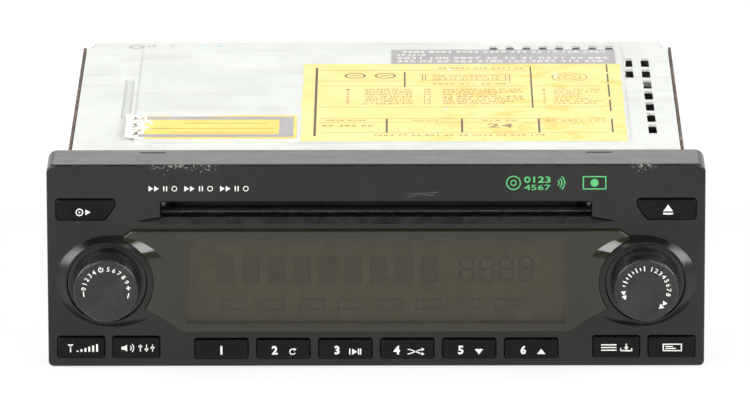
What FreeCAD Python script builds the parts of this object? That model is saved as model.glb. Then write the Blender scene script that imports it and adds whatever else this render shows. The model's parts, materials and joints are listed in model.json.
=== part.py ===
import FreeCAD, Part
import math
import os

# A car CD player for a single dashboard slot, in millimetres.
# X runs to the right, Y runs from the front to the rear, Z runs up.
# While it is built, Y is 0 on the face of the front panel and Z is 0 under the panel.
# At the end every piece moves along Y, so that the origin is under the middle of the whole player.

# Front panel
panel_width = 188.0
panel_height = 60.0
panel_depth = 16.0
panel_wall = 1.6
face_thickness = 2.5
panel_top_corner = 2.7
panel_bottom_corner = 1.5
face_edge_round = 0.8

# Disc slot in the face
disc_radius = 60.0
disc_thickness = 1.2
slot_side_room = 1.7
slot_bottom = 44.1
slot_top = 48.6
slot_corner = 1.1
slot_lip_round = 0.9
ramp_bottom = 42.3
ramp_depth = 1.2
ramp_reach = 6.7
ramp_end_rise = 0.95
ramp_tip_rise = 0.4
tunnel_wall = 1.2
tunnel_length = 4.0
felt_thickness = 1.0
felt_height = 2.9
felt_overhang = 0.2

# Knobs
knob_side_room = 17.1
knob_centre_z = 25.45
knob_front = 10.7
knob_front_radius = 9.15
knob_base_radius = 9.85
knob_skirt_radius = 11.2
knob_skirt_front = -1.7
knob_skirt_thickness = 2.6
knob_groove_width = 0.45
knob_groove_depth = 0.5
knob_edge_round = 0.7
knob_dish_depth = 0.35
knob_flat_rim = 0.2
knob_wall = 1.4
knob_cap_thickness = 1.9
knob_hub_radius = 4.6
knob_hub_rear = 1.2
knob_push = 1.0
knob_hole_gap = 0.3
collar_height = 2.4
collar_rim = 0.5
collar_reach = 16.6
collar_rise = 13.6
collar_offset = 1.75

# Display lens
lens_proud = 1.3
lens_seat_depth = 1.2
lens_bottom = 10.6
lens_top = 40.6
lens_bottom_inset = 38.7
lens_top_inset = 24.4
lens_shoulder_inset = 21.8
lens_shoulder_z = 38.9
lens_flank_inset = 26.2
lens_flank_z = 19.0
lens_knob_room = 1.8
lens_gap = 0.12
lens_edge_round = 0.35
lens_bottom_corner = 1.2
lens_flank_corner = 0.6
lens_top_corner = 0.8
lens_shoulder_drop = 2.0
lens_shoulder_bulge = 0.4
window_inset = 39.5
window_bottom = 12.9
window_top = 38.2
glass_overlap = 1.9
glass_thickness = 1.8
light_box_wall = 1.5

# Keys, with the sizes of their holes in the face
key_gap = 0.3
key_proud = 0.9
key_travel = 0.7
key_edge_round = 0.45
key_wall = 1.1
key_front_thickness = 1.5
key_skirt = 3.4
key_lip = 0.7
key_lip_gap = 0.15
key_lip_inset = 1.5
key_stem_radius = 1.5
key_stem_reach = 0.9
preset_keys = 6
preset_pitch = 17.75
preset_width = 15.7
preset_bottom = 2.3
preset_height = 6.3
preset_corner = 0.9
corner_key_width = 13.8
corner_key_height = 6.7
corner_key_bottom = 2.6
corner_key_corner = 0.8
outer_key_inset = 9.45
corner_key_pitch = 15.8
top_key_side = 2.5
top_key_width = 17.1
top_key_bottom = 43.4
top_key_height = 6.6
top_key_slant = 2.9
top_key_slant_z = 47.5
top_key_corner = 1.1

# Front circuit board, key switches and rotary encoders
board_front = 11.2
board_thickness = 1.6
front_board_side = 2.4
front_board_bottom = 2.1
front_board_top = 41.8
front_board_ear_inset = 27.5
front_board_ear_drop = 7.6
switch_size = 6.0
switch_height = 3.2
switch_well_gap = 0.15
encoder_size = 12.0
encoder_depth = 6.0
encoder_floor = 1.0
shaft_in_encoder = 1.0
shaft_short_of_knob = 1.4
shaft_radius = 3.0
shaft_gap = 0.05
bushing_wall = 0.6
plunger_radius = 2.8
plunger_length = 2.4
plunger_gap = 0.1

# Rear cover of the front panel
panel_back_thickness = 1.5
panel_back_gap = 0.2
snap_centre = 64.0
snap_width = 7.0
snap_slot_width = 7.4
snap_slot_front = 12.5
snap_slot_rear = 13.6
snap_tongue_thickness = 1.0
snap_nose_height = 1.0
snap_gap = 0.2
slot_passage_gap = 0.8
boss_radius = 2.3
pilot_depth = 6.5
upper_boss_inset = 23.5
upper_boss_drop = 5.6
lower_boss_inset = 37.0
lower_boss_z = 5.6

# Chassis
chassis_width = 178.0
chassis_bottom = 5.0
chassis_top = 55.2
chassis_rear = 162.8
side_wall_rear = 156.3
rear_corner_inset = 3.0
rear_flange_length = 10.0
panel_vents = 4
panel_vent_x = 58.0
panel_vent_pitch = 5.0
panel_vent_bottom = 39.5
sheet = 0.8
sheet_gap = 0.1
cover_side_gap = 0.2
flange_reach = 12.0
flange_bottom = 9.0
flange_top = 47.0
flange_screw_inset = 5.0
cover_ledge = 6.0
ledge_length = 12.0
first_ledge = 30.0
ledge_pitch = 50.0
ledges = 3
side_dimple_radius = 1.0
side_dimple_height = 0.5
side_dimple_drop = 4.0
first_dimple = 34.0
dimple_pitch = 26.0
dimples = 5
floor_bead_x = 45.0
floor_bead_width = 8.0
floor_bead_front = 45.0
floor_bead_rear = 135.0
floor_bead_height = 0.6
side_hole_radius = 2.5
side_hole_boss = 4.5
side_hole_depth = 4.0
side_hole_spacing = 70.0
side_hole_front = 45.0
side_hole_z = 30.0

# Top cover
vent_width = 2.5
vent_length = 10.7
vent_corner = 0.6
vent_pitch_y = 13.2
outer_vent_x = 80.6
inner_vent_x = 75.6
outer_vents = 7
inner_vents = 2
last_vent_centre = 137.3
rear_vent_first_x = 35.2
rear_vent_pitch = 5.0
rear_vents = 8
rear_vent_end = 156.7
pressed_panel_left = -70.5
pressed_panel_right = 73.6
pressed_panel_front = 41.5
pressed_panel_rear = 159.0
pressed_panel_corner = 4.0
pressing_height = 0.4
cover_corner = 0.8
bead_left = -75.1
bead_width = 2.9
bead_front = 71.0
bead_rear = 118.0
label_thickness = 0.12
large_label = (-22.0, 73.0, 42.5, 134.0)
strip_label = (4.3, 71.8, 134.2, 151.7)
small_label = (-69.5, -23.2, 45.7, 72.5)

# Clearances shared by several pieces
overlap = 0.5
through = 1.0
seat_gap = 0.3
fit_gap = 0.02
same_point = 1e-6
same_depth = 1e-4
quarter_turn = 90.0

# Screws
screw_radius = 1.4
screw_hole_gap = 0.3
screw_tap_gap = 0.1
screw_head_radius = 2.6
screw_head_height = 1.2
deck_screw_length = 6.0
chip_screw_length = 6.4
panel_screw_length = 5.0
flange_screw_length = 3.4
board_screw_length = 4.5

# Main circuit board and its parts
main_board_z = 9.5
main_board_half = 85.0
main_board_front = 19.0
main_board_rear = 158.0
post_radius = 4.0
post_x = 80.0
post_front = 27.0
post_rear = 140.0
chip_width = 24.0
chip_thickness = 4.0
chip_height = 17.0
chip_x = -58.0
chip_lift = 4.0
chip_legs = 12
chip_leg_width = 0.6
chip_leg_thickness = 0.5
chip_edge = 1.5
chip_screw_inset = 3.5
tuner_x = 60.0
tuner_width = 34.0
tuner_length = 38.0
tuner_height = 10.5
tuner_rear = 148.0
tuner_lid_height = 2.5
tuner_lid_thickness = 0.3
big_capacitor_x = 75.5
big_capacitor_y = 66.0
big_capacitor_pitch = 18.0
big_capacitor_radius = 6.5
big_capacitor_height = 25.0
small_capacitor_x = -60.0
small_capacitor_y = 122.0
small_capacitor_pitch = 12.0
small_capacitors = 4
small_capacitor_radius = 4.0
small_capacitor_height = 9.5

# Parts at the rear
heat_sink_left = -82.0
heat_sink_width = 54.0
heat_sink_bottom = 8.0
heat_sink_height = 42.0
heat_sink_base = 2.5
heat_sink_fin = 11.0
fin_thickness = 1.6
fins = 9
socket_left = 3.0
socket_chambers = 2
chamber_width = 22.5
chamber_height = 12.5
socket_wall = 2.4
socket_rear = 172.0
socket_foot_front = 149.5
chamber_depth = 14.0
blade_length = 8.5
blade_width = 2.4
blade_thickness = 0.8
blade_pitch = 5.0
blade_columns = 4
blade_rows = (-0.5, 0.5)
fuse_width = 17.0
fuse_height = 5.0
fuse_length = 8.7
fuse_gap = 0.15
fuse_holder_wall = 2.4
fuse_holder_setback = 4.0
fuse_blade_length = 5.0
fuse_blade_width = 5.0
fuse_blade_thickness = 0.7
fuse_blade_inset = 1.5
fuse_edge_round = 0.8
aerial_x = 74.0
aerial_z = 22.0
aerial_radius = 6.5
aerial_bore_radius = 4.75
aerial_bore_depth = 12.0
aerial_rear = 176.0
aerial_pin_hole = 1.6
aerial_pin_depth = 8.0
aerial_collar_radius = 8.7
aerial_collar_thickness = 2.3
aerial_inside = 9.0
aerial_foot_width = 10.0
stud_radius = 2.5
stud_x = -12.0
stud_z = 44.0
stud_rear = 176.5
stud_nut_height = 3.0
stud_neck_radius = 2.3
stud_neck_length = 0.5
nut_across = 8.0
nut_sides = 6

# Disc deck
deck_half = 67.0
deck_sheet = 1.0
deck_bottom = 23.0
deck_top = 50.0
deck_front = 20.0
deck_rear = 157.0
deck_ear_length = 12.0
deck_ear_front = 52.0
deck_ear_rear = 128.0
deck_screw_z = 44.0
deck_tab_drop = 5.0
deck_rear_top = 40.7
deck_window_half = 30.0
deck_window_front = 128.0
deck_window_rear = 146.0
clamp_post_gap = 1.0
clamp_post_reach = 3.5
clamp_post_rise = 2.0
guide_z = 47.6
guide_front = 21.5
guide_bridge_front = 34.5
guide_bridge_rear = 45.0
guide_half = 61.0
spindle_y = 95.0
turntable_top = 43.7
turntable_radius = 14.5
turntable_thickness = 1.4
hub_radius = 7.4
hub_top_radius = 6.0
hub_height = 1.6
spindle_motor_radius = 11.0
spindle_motor_height = 7.0
spindle_radius = 1.0
traverse_bottom = 32.6
traverse_thickness = 1.2
traverse_left = -34.0
traverse_right = 65.0
traverse_front = 70.0
traverse_rear = 126.0
damper_radius = 4.0
damper_waist_radius = 3.2
damper_flange = 3.0
damper_inset = 6.0
rod_height = 37.0
rod_radius = 1.5
rod_offset = 15.0
running_gap = 0.05
lens_rest_radius = 23.0
pickup_inner = 10.0
pickup_outer = 5.0
pickup_half_width = 19.0
pickup_bottom = 34.4
pickup_height = 6.0
pickup_lens_radius = 4.0
pickup_lens_height = 1.6
screw_y = 118.5
thread_radius = 1.9
thread_core = 1.4
thread_pitch = 3.0
sled_motor_radius = 5.2
sled_motor_length = 21.0
sled_motor_flat = 4.4
post_thickness = 1.6
post_half_width = 2.6
motor_bracket_half = 6.0
motor_bracket_top = 42.0
screw_in_motor = 6.0
thread_sunk = 0.1
thread_length = 48.0
thread_foot = 0.8
thread_crest = 0.35
spindle_socket = 1.0
turntable_neck = 0.8
turntable_neck_radius = 3.5
turntable_pad_width = 2.0
turntable_pad_inset = 1.5
turntable_pad_depth = 0.3
finger_inset = 3.0
finger_half_height = 2.0
pickup_hollow_half = 8.0
pickup_hollow_depth = 1.5

# Clamp arm and clamper
clamp_pivot_y = 153.0
clamp_pivot_z = 48.5
clamp_arm_z = 51.0
clamp_arm_half = 38.0
clamp_nose_half = 15.0
clamp_nose_front = 80.0
clamper_radius = 13.0
clamper_bottom = 47.7
clamper_thickness = 2.6
clamper_neck = 7.0
clamper_flange = 9.5
clamper_flange_thickness = 0.9
clamper_lift_gap = 0.1
clamper_recess_gap = 0.6
clamper_neck_gap = 0.5
arm_window_front = 24.0
arm_window_rear = 12.0
arm_window_nose = 9.0
arm_window_tail = 16.0
arm_rear_reach = 3.0
arm_nose_room = 4.0
arm_tail_length = 14.0
arm_corner = 3.0
arm_ear_drop = 2.0
arm_ear_front = 5.0
pivot_radius = 1.5

# Loading roller, its bracket, motor and gears
roller_y = 25.0
roller_radius = 3.8
roller_half = 58.0
roller_shaft_radius = 1.5
bracket_half = 61.7
bracket_sheet = 1.0
bracket_pivot_y = 37.0
bracket_pivot_z = 40.0
gear_module = 0.5
roller_teeth = 30
pinion_teeth = 12
gear_width = 2.4
pressure_angle = 20.0
tooth_root = 1.25
gear_backlash = 0.12
gear_line_angle = -53.13
gear_gap = 0.3
shaft_end = 0.8
roller_taper = 0.8
bracket_front = 5.5
bracket_low = 9.0
bracket_high = 2.8
bracket_corner = 2.0
cross_plate_thickness = 0.8
cross_plate_low = 7.0
cross_plate_high = 2.0
loading_motor_radius = 6.0
loading_motor_length = 20.0
motor_cap_radius = 4.0
motor_cap_length = 1.5
motor_shaft_radius = 0.75
motor_shaft_hole = 1.75
motor_shaft_depth = 5.5

# Sizes that follow from the ones above
panel_half = panel_width / 2
knob_x = panel_half - knob_side_room
lens_bottom_half = panel_half - lens_bottom_inset
lens_top_half = panel_half - lens_top_inset
lens_shoulder_half = panel_half - lens_shoulder_inset
lens_flank_half = panel_half - lens_flank_inset
window_half = panel_half - window_inset
outer_key_centre = panel_half - outer_key_inset
inner_key_centre = outer_key_centre - corner_key_pitch
top_key_outer = panel_half - top_key_side
top_key_inner = top_key_outer - top_key_width
top_key_slant_x = top_key_inner + top_key_slant
front_board_half = panel_half - panel_wall - front_board_side
front_board_ear = panel_half - front_board_ear_inset
front_board_ear_top = panel_height - front_board_ear_drop
upper_boss_x = panel_half - upper_boss_inset
upper_boss_z = panel_height - upper_boss_drop
lower_boss_x = panel_half - lower_boss_inset
slot_half = disc_radius + slot_side_room
slot_middle = (slot_bottom + slot_top) / 2
roller_z = slot_middle - disc_thickness / 2 - roller_radius
knob_hole_radius = knob_skirt_radius + knob_hole_gap
encoder_front = board_front - encoder_depth
board_rear = board_front + board_thickness
panel_back_rear = panel_depth - sheet_gap
panel_back_front = panel_back_rear - panel_back_thickness
wall_outer = chassis_width / 2
wall_inner = wall_outer - sheet
cover_half = wall_inner - cover_side_gap
rear_inner = chassis_rear - sheet
board_top = main_board_z + board_thickness
deck_inner = deck_half - deck_sheet
deck_floor = deck_bottom + deck_sheet
traverse_top = traverse_bottom + traverse_thickness
screw_hole_radius = screw_radius + screw_hole_gap
screw_tap_radius = screw_radius + screw_tap_gap
gear_distance = gear_module * (roller_teeth + pinion_teeth) / 2
gear_direction = math.radians(gear_line_angle)
pinion_y = roller_y + gear_distance * math.cos(gear_direction)
pinion_z = roller_z + gear_distance * math.sin(gear_direction)
gear_start = bracket_half + gear_gap
gear_end = gear_start + gear_width
deck_clear = deck_rear + seat_gap
traverse_rod_start = spindle_motor_radius - 1.5
traverse_rod_end = traverse_right - 0.2
heat_sink_front = chassis_rear + sheet_gap
player_front = -knob_front
player_rear = stud_rear
centre_shift = -(player_front + player_rear) / 2


def vector(x, y, z):
    return FreeCAD.Vector(x, y, z)


def box(x0, x1, y0, y1, z0, z1):
    """A box between two places on each axis."""
    return Part.makeBox(x1 - x0, y1 - y0, z1 - z0, vector(x0, y0, z0))


def rod_x(radius, y, z, x0, x1):
    """A round rod along X."""
    return Part.makeCylinder(radius, x1 - x0, vector(x0, y, z), vector(1, 0, 0))


def rod_y(radius, x, z, y0, y1):
    """A round rod along Y."""
    return Part.makeCylinder(radius, y1 - y0, vector(x, y0, z), vector(0, 1, 0))


def rod_z(radius, x, y, z0, z1):
    """A round rod along Z."""
    return Part.makeCylinder(radius, z1 - z0, vector(x, y, z0), vector(0, 0, 1))


def cone_y(radius0, radius1, x, z, y0, y1):
    """A cone along Y, from radius0 at y0 to radius1 at y1."""
    return Part.makeCone(radius0, radius1, y1 - y0, vector(x, y0, z), vector(0, 1, 0))


def joined(first, *others):
    """One solid from several that overlap or touch."""
    return first.fuse(list(others)).removeSplitter()


def cut(first, *tools):
    """The first solid without the others."""
    return first.cut(list(tools))


def mirrored(shape):
    """The same shape on the other side of the middle plane."""
    return shape.mirror(vector(0, 0, 0), vector(1, 0, 0))


def both_sides(shape):
    """A shape and its mirror image, as two tools."""
    return [shape, mirrored(shape)]


def rounded_wire(corners, place):
    """A closed wire through flat corners (a, b, radius), where place(a, b) gives the point in space."""
    edges = []
    ends = []
    count = len(corners)
    for i in range(count):
        a, b, radius = corners[i]
        here = vector(a, b, 0)
        before = (vector(corners[i - 1][0], corners[i - 1][1], 0) - here).normalize()
        after = vector(corners[(i + 1) % count][0], corners[(i + 1) % count][1], 0) - here
        after.normalize()
        half = before.getAngle(after) / 2
        reach = radius / math.tan(half)
        start = here + before * reach
        end = here + after * reach
        middle = here + (before + after).normalize() * (radius / math.sin(half) - radius)
        ends.append((place(start.x, start.y), place(middle.x, middle.y), place(end.x, end.y)))
    for i in range(count):
        start, middle, end = ends[i]
        if corners[i][2] > 0:
            edges.append(Part.Arc(start, middle, end).toShape())
        following = ends[(i + 1) % count][0]
        if end.distanceToPoint(following) > same_point:
            edges.append(Part.LineSegment(end, following).toShape())
    return Part.Wire(edges)


def outline_y(corners, y0, y1, grow=0.0):
    """A solid between two depths, whose outline in X and Z has rounded corners, and is grown outwards."""
    face = Part.Face(rounded_wire(corners, lambda a, b: vector(a, y0, b)))
    if grow:
        face = face.makeOffset2D(grow)
    return face.extrude(vector(0, y1 - y0, 0))


def outline_z(corners, z0, z1):
    """A solid between two heights, whose outline in X and Y has rounded corners."""
    face = Part.Face(rounded_wire(corners, lambda a, b: vector(a, b, z0)))
    return face.extrude(vector(0, 0, z1 - z0))


def outline_x(corners, x0, x1):
    """A solid between two places on X, whose outline in Y and Z has rounded corners."""
    face = Part.Face(rounded_wire(corners, lambda a, b: vector(x0, a, b)))
    return face.extrude(vector(x1 - x0, 0, 0))


def rectangle(a0, a1, b0, b1, radius=0.0):
    """The corners of a rectangle, all with one radius."""
    return [(a0, b0, radius), (a1, b0, radius), (a1, b1, radius), (a0, b1, radius)]


def edges_on_plane_y(shape, y):
    """The edges of a shape that lie wholly at one depth."""
    found = []
    for edge in shape.Edges:
        limits = edge.BoundBox
        if abs(limits.YMin - y) < same_depth and abs(limits.YMax - y) < same_depth:
            found.append(edge)
    return found


def screw_to_front(x, z, seat, length):
    """A pan head screw that points to the front. seat is the plane that its head bears on."""
    shank = rod_y(screw_radius, x, z, seat - length, seat)
    return joined(shank, rod_y(screw_head_radius, x, z, seat, seat + screw_head_height))


def panel_corners():
    """The outline of the front panel."""
    half = panel_width / 2
    return [
        (-half, 0, panel_bottom_corner),
        (half, 0, panel_bottom_corner),
        (half, panel_height, panel_top_corner),
        (-half, panel_height, panel_top_corner),
    ]


def preset_key_corners(centre_x):
    """The hole of one numbered key."""
    half = preset_width / 2
    top = preset_bottom + preset_height
    return rectangle(centre_x - half, centre_x + half, preset_bottom, top, preset_corner)


def corner_key_corners(centre_x):
    """The hole of one of the four large keys under the knobs."""
    half = corner_key_width / 2
    top = corner_key_bottom + corner_key_height
    return rectangle(centre_x - half, centre_x + half, corner_key_bottom, top, corner_key_corner)


def top_key_corners():
    """The hole of the key at the top left, whose lower right corner is cut off at a slant."""
    top = top_key_bottom + top_key_height
    return [
        (-top_key_outer, top_key_bottom, top_key_corner),
        (-top_key_slant_x, top_key_bottom, top_key_corner),
        (-top_key_inner, top_key_slant_z, top_key_corner),
        (-top_key_inner, top, top_key_corner),
        (-top_key_outer, top, top_key_corner),
    ]


def preset_centres():
    """The middle of each numbered key, from left to right."""
    first = -preset_pitch * (preset_keys - 1) / 2
    return [first + i * preset_pitch for i in range(preset_keys)]


def corner_key_centres():
    """The middle of each large key at the bottom corners, from left to right."""
    return [-outer_key_centre, -inner_key_centre, inner_key_centre, outer_key_centre]


def key_places():
    """The middle of each key, as (x, z), which its stem and switch share."""
    preset_z = preset_bottom + preset_height / 2
    corner_z = corner_key_bottom + corner_key_height / 2
    top_z = top_key_bottom + top_key_height / 2
    top_x = (top_key_outer + top_key_inner) / 2
    places = [(x, preset_z) for x in preset_centres()]
    places += [(x, corner_z) for x in corner_key_centres()]
    places += [(-top_x, top_z), (top_x, top_z)]
    return places


def lens_corners():
    """The outline of the display lens before the knobs' places are cut from it."""
    bulge = lens_shoulder_half + lens_shoulder_bulge
    right = [
        (lens_bottom_half, lens_bottom, lens_bottom_corner),
        (lens_flank_half, lens_flank_z, lens_flank_corner),
        (bulge, lens_shoulder_z - lens_shoulder_drop, lens_flank_corner),
        (lens_shoulder_half, lens_shoulder_z, lens_flank_corner),
        (lens_top_half, lens_top, lens_top_corner),
    ]
    left = [(-x, z, radius) for x, z, radius in reversed(right)]
    return right + left


def collar(side, base):
    """The raised collar round a knob. It rises from an oval at the depth base to its round rim."""
    middle = knob_x - collar_offset
    oval = Part.Ellipse(
        vector(middle + collar_reach, base, knob_centre_z),
        vector(middle, base, knob_centre_z + collar_rise),
        vector(middle, base, knob_centre_z),
    )
    rim = Part.Circle(
        vector(knob_x, -collar_height, knob_centre_z), vector(0, -1, 0), knob_hole_radius + collar_rim
    )
    slope = Part.makeLoft([Part.Wire(oval.toShape()), Part.Wire(rim.toShape())], True, True)
    return slope if side > 0 else mirrored(slope)


def lens_blank(y0, y1, grow):
    """The lens outline as a solid, with room round both knobs."""
    radius = knob_hole_radius + lens_knob_room - grow
    blank = outline_y(lens_corners(), y0, y1, grow)
    rooms = [rod_y(radius, side * knob_x, knob_centre_z, y0 - through, y1 + through) for side in (-1, 1)]
    return cut(blank, *rooms)


def slot_ramp():
    """The sloping hollow under the disc slot, deepest at the slot and ending in a point on each side."""
    far = slot_half + ramp_reach
    end_z = ramp_bottom + ramp_end_rise
    outline = [
        (-slot_half, ramp_bottom, 0),
        (slot_half, ramp_bottom, 0),
        (far, end_z, 0),
        (slot_half, slot_bottom + ramp_tip_rise, 0),
        (-slot_half, slot_bottom + ramp_tip_rise, 0),
        (-far, end_z, 0),
    ]
    area = outline_y(outline, -1, ramp_depth + through)
    wedge = outline_x(
        [(-1, ramp_bottom, 0), (0, ramp_bottom, 0), (ramp_depth, slot_bottom, 0), (-1, slot_bottom + 1, 0)],
        -far - 1,
        far + 1,
    )
    return area.common(wedge)


def slot_throat(y0, y1):
    """The disc slot itself, between two depths."""
    return outline_y(rectangle(-slot_half, slot_half, slot_bottom, slot_top, slot_corner), y0, y1)


def lip_round():
    """What the rounded upper lip of the disc slot takes from the face: a quarter hollow along the slot."""
    r = slot_lip_round
    bar = box(-slot_half, slot_half, -through, r, slot_top - overlap, slot_top + r)
    return cut(bar, rod_x(r, r, slot_top + r, -slot_half - through, slot_half + through))


def panel_bosses():
    """Screw bosses behind the face: three above the slot and two beside the numbered keys."""
    tall = panel_back_front - panel_back_gap
    bosses = [rod_y(boss_radius, x, upper_boss_z, face_thickness - 0.5, tall) for x in upper_boss_places()]
    low = board_front - sheet_gap
    bosses += [rod_y(boss_radius, x, lower_boss_z, face_thickness - 0.5, low) for x in lower_boss_places()]
    return bosses


def upper_boss_places():
    return [-upper_boss_x, 0.0, upper_boss_x]


def lower_boss_places():
    return [-lower_boss_x, lower_boss_x]


def front_panel():
    """The plastic face: a shallow tray, open at the back, with all its openings."""
    blank = outline_y(panel_corners(), 0, panel_depth)
    blank = blank.makeFillet(face_edge_round, edges_on_plane_y(blank, 0))
    hollow = outline_y(panel_corners(), face_thickness, panel_depth + through, -panel_wall)
    shell = cut(blank, hollow)
    tunnel = outline_y(
        rectangle(-slot_half, slot_half, slot_bottom, slot_top, slot_corner),
        face_thickness - 0.5,
        face_thickness + tunnel_length,
        tunnel_wall,
    )
    shell = joined(shell, tunnel, *panel_bosses(), collar(-1, 0), collar(1, 0))
    tools = [slot_throat(-1, face_thickness + tunnel_length + 1), slot_ramp(), lip_round()]
    front = -collar_height - through
    tools += [lens_blank(front, lens_seat_depth, lens_gap)]
    tools += [box(-window_half, window_half, 0, face_thickness + through, window_bottom, window_top)]
    for side in (-1, 1):
        tools.append(rod_y(knob_hole_radius, side * knob_x, knob_centre_z, front, face_thickness + through))
    for x in preset_centres():
        tools.append(outline_y(preset_key_corners(x), -1, face_thickness + through))
    for x in corner_key_centres():
        tools.append(outline_y(corner_key_corners(x), -1, face_thickness + through))
    tools += both_sides(outline_y(top_key_corners(), -1, face_thickness + through))
    half = snap_slot_width / 2
    top = panel_height
    for x in (-snap_centre, snap_centre):
        tools.append(
            box(x - half, x + half, snap_slot_front, snap_slot_rear, top - 2 * panel_wall, top + through)
        )
    rear = panel_back_front
    upper_start = panel_back_front - pilot_depth
    lower_start = board_front - pilot_depth
    pilot = [rod_y(screw_tap_radius, x, upper_boss_z, upper_start, rear) for x in upper_boss_places()]
    pilot += [rod_y(screw_tap_radius, x, lower_boss_z, lower_start, rear) for x in lower_boss_places()]
    return cut(shell, *tools, *pilot)


def display_lens():
    """The tinted lens, which stands proud of the face and rises towards each knob."""
    blank = lens_blank(-lens_proud, lens_seat_depth - sheet_gap, 0.0)
    blank = blank.makeFillet(lens_edge_round, edges_on_plane_y(blank, -lens_proud))
    outline = lens_blank(-collar_height, -lens_proud, 0.0)
    rises = [outline.common(collar(side, -lens_proud)) for side in (-1, 1)]
    return joined(blank, *rises)


def display_glass():
    """The display itself, behind the window."""
    front = face_thickness + sheet_gap
    return box(
        -window_half - glass_overlap,
        window_half + glass_overlap,
        front,
        front + glass_thickness,
        window_bottom - glass_overlap,
        window_top + glass_overlap,
    )


def display_holder():
    """The white box that holds and lights the display from behind."""
    front = face_thickness + glass_thickness + 2 * sheet_gap
    rear = board_front - sheet_gap
    half = window_half + glass_overlap
    low = window_bottom - glass_overlap
    high = window_top + glass_overlap
    outer = box(-half, half, front, rear, low, high)
    wall = light_box_wall
    inner = box(-half + wall, half - wall, front - through, rear - wall, low + wall, high - wall)
    return cut(outer, inner)


def slot_felts():
    """Two felt strips behind the lips of the disc slot."""
    front = face_thickness + tunnel_length
    rear = front + felt_thickness
    half = slot_half + tunnel_wall
    low = slot_bottom + felt_overhang
    high = slot_top - felt_overhang
    lower = box(-half, half, front, rear, low - felt_height, low)
    upper = box(-half, half, front, rear, high, high + felt_height)
    return Part.makeCompound([lower, upper])


def key_cap(hole, centre_x, centre_z):
    """A hollow key cap with side lips that keep it in the face, and a stem that reaches into its switch."""
    cap = outline_y(hole, -key_proud, key_skirt, -key_gap)
    cap = cap.makeFillet(key_edge_round, edges_on_plane_y(cap, -key_proud))
    inside = outline_y(hole, key_front_thickness - key_proud, key_skirt + through, -key_gap - key_wall)
    cap = cut(cap, inside)
    limits = cap.BoundBox
    lip_front = face_thickness + key_lip_gap
    low = limits.ZMin + key_lip_inset
    high = limits.ZMax - key_lip_inset
    left = box(limits.XMin - key_lip, limits.XMin + overlap, lip_front, key_skirt, low, high)
    right = box(limits.XMax - overlap, limits.XMax + key_lip, lip_front, key_skirt, low, high)
    stem_end = board_front - switch_height + key_stem_reach
    stem = rod_y(key_stem_radius, centre_x, centre_z, key_front_thickness - key_proud - overlap, stem_end)
    return joined(cap, left, right, stem)


def key_switches():
    """Twelve push switches on the front board, each with a well for the stem of its key."""
    switches = []
    half = switch_size / 2
    front = board_front - switch_height
    for x, z in key_places():
        body = box(x - half, x + half, front, board_front, z - half, z + half)
        well_end = front + key_stem_reach + key_travel + seat_gap
        well = rod_y(key_stem_radius + switch_well_gap, x, z, front - through, well_end)
        switches.append(cut(body, well))
    return Part.makeCompound(switches)


def front_board():
    """The circuit board behind the keys. It stops under the disc slot, and two ears reach the upper keys."""
    ear_top = front_board_ear_top
    plate = box(
        -front_board_half, front_board_half, board_front, board_rear, front_board_bottom, front_board_top
    )
    ear = box(front_board_ear, front_board_half, board_front, board_rear, front_board_top - through, ear_top)
    plate = joined(plate, *both_sides(ear))
    holes = [
        rod_y(screw_hole_radius, x, lower_boss_z, board_front - through, board_rear + through)
        for x in lower_boss_places()
    ]
    room = boss_radius + seat_gap
    holes += [
        rod_y(room, x, upper_boss_z, board_front - through, board_rear + through) for x in upper_boss_places()
    ]
    return cut(plate, *holes)


def encoder(side):
    """A rotary encoder: a square body on the board with a threaded bushing round its bore."""
    x = side * knob_x
    half = encoder_size / 2
    body = box(
        x - half, x + half, encoder_front, board_front, knob_centre_z - half, knob_centre_z + half
    )
    bushing_front = knob_hub_rear + knob_push + seat_gap
    bushing = rod_y(
        shaft_radius + shaft_gap + bushing_wall, x, knob_centre_z, bushing_front, encoder_front + 0.5
    )
    bore = rod_y(
        shaft_radius + shaft_gap, x, knob_centre_z, bushing_front - through, board_front - encoder_floor
    )
    return cut(joined(body, bushing), bore)


def shaft_ends():
    """Where an encoder shaft starts inside the knob and ends inside the encoder."""
    front = -knob_front + knob_dish_depth + knob_cap_thickness + shaft_short_of_knob
    return front, encoder_front + shaft_in_encoder


def encoder_shaft(side):
    """The shaft that turns with the knob."""
    front, rear = shaft_ends()
    return rod_y(shaft_radius, side * knob_x, knob_centre_z, front, rear)


def encoder_plunger(side):
    """The plunger behind the shaft, which moves in when the knob is pushed."""
    start = shaft_ends()[1] + plunger_gap
    return rod_y(plunger_radius, side * knob_x, knob_centre_z, start, start + plunger_length)


def knob(side):
    """A round knob with a slim skirt, a slightly dished front and a hub for the shaft."""
    x = side * knob_x
    z = knob_centre_z
    front = -knob_front
    body = cone_y(knob_front_radius, knob_base_radius, x, z, front, knob_skirt_front)
    body = body.makeFillet(knob_edge_round, edges_on_plane_y(body, front))
    skirt_rear = knob_skirt_front + knob_skirt_thickness
    skirt = rod_y(knob_skirt_radius, x, z, knob_skirt_front, skirt_rear)
    groove_front = knob_skirt_front - through
    groove = cut(
        rod_y(knob_base_radius + knob_groove_width, x, z, groove_front, knob_skirt_front + knob_groove_depth),
        rod_y(knob_base_radius, x, z, groove_front - through, skirt_rear),
    )
    solid = cut(joined(body, skirt), groove)
    rim = knob_front_radius - knob_edge_round - knob_flat_rim
    ball_radius = (rim**2 + knob_dish_depth**2) / (2 * knob_dish_depth)
    ball = Part.makeSphere(ball_radius, vector(x, front + knob_dish_depth - ball_radius, z))
    inner = front + knob_dish_depth + knob_cap_thickness
    room = rod_y(knob_front_radius - knob_wall, x, z, inner, skirt_rear + through)
    solid = cut(solid, ball, room)
    hub = rod_y(knob_hub_radius, x, z, inner - overlap, knob_hub_rear)
    hub_bore = rod_y(shaft_radius + fit_gap, x, z, shaft_ends()[0] - fit_gap, knob_hub_rear + through)
    return cut(joined(solid, hub), hub_bore)


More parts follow.
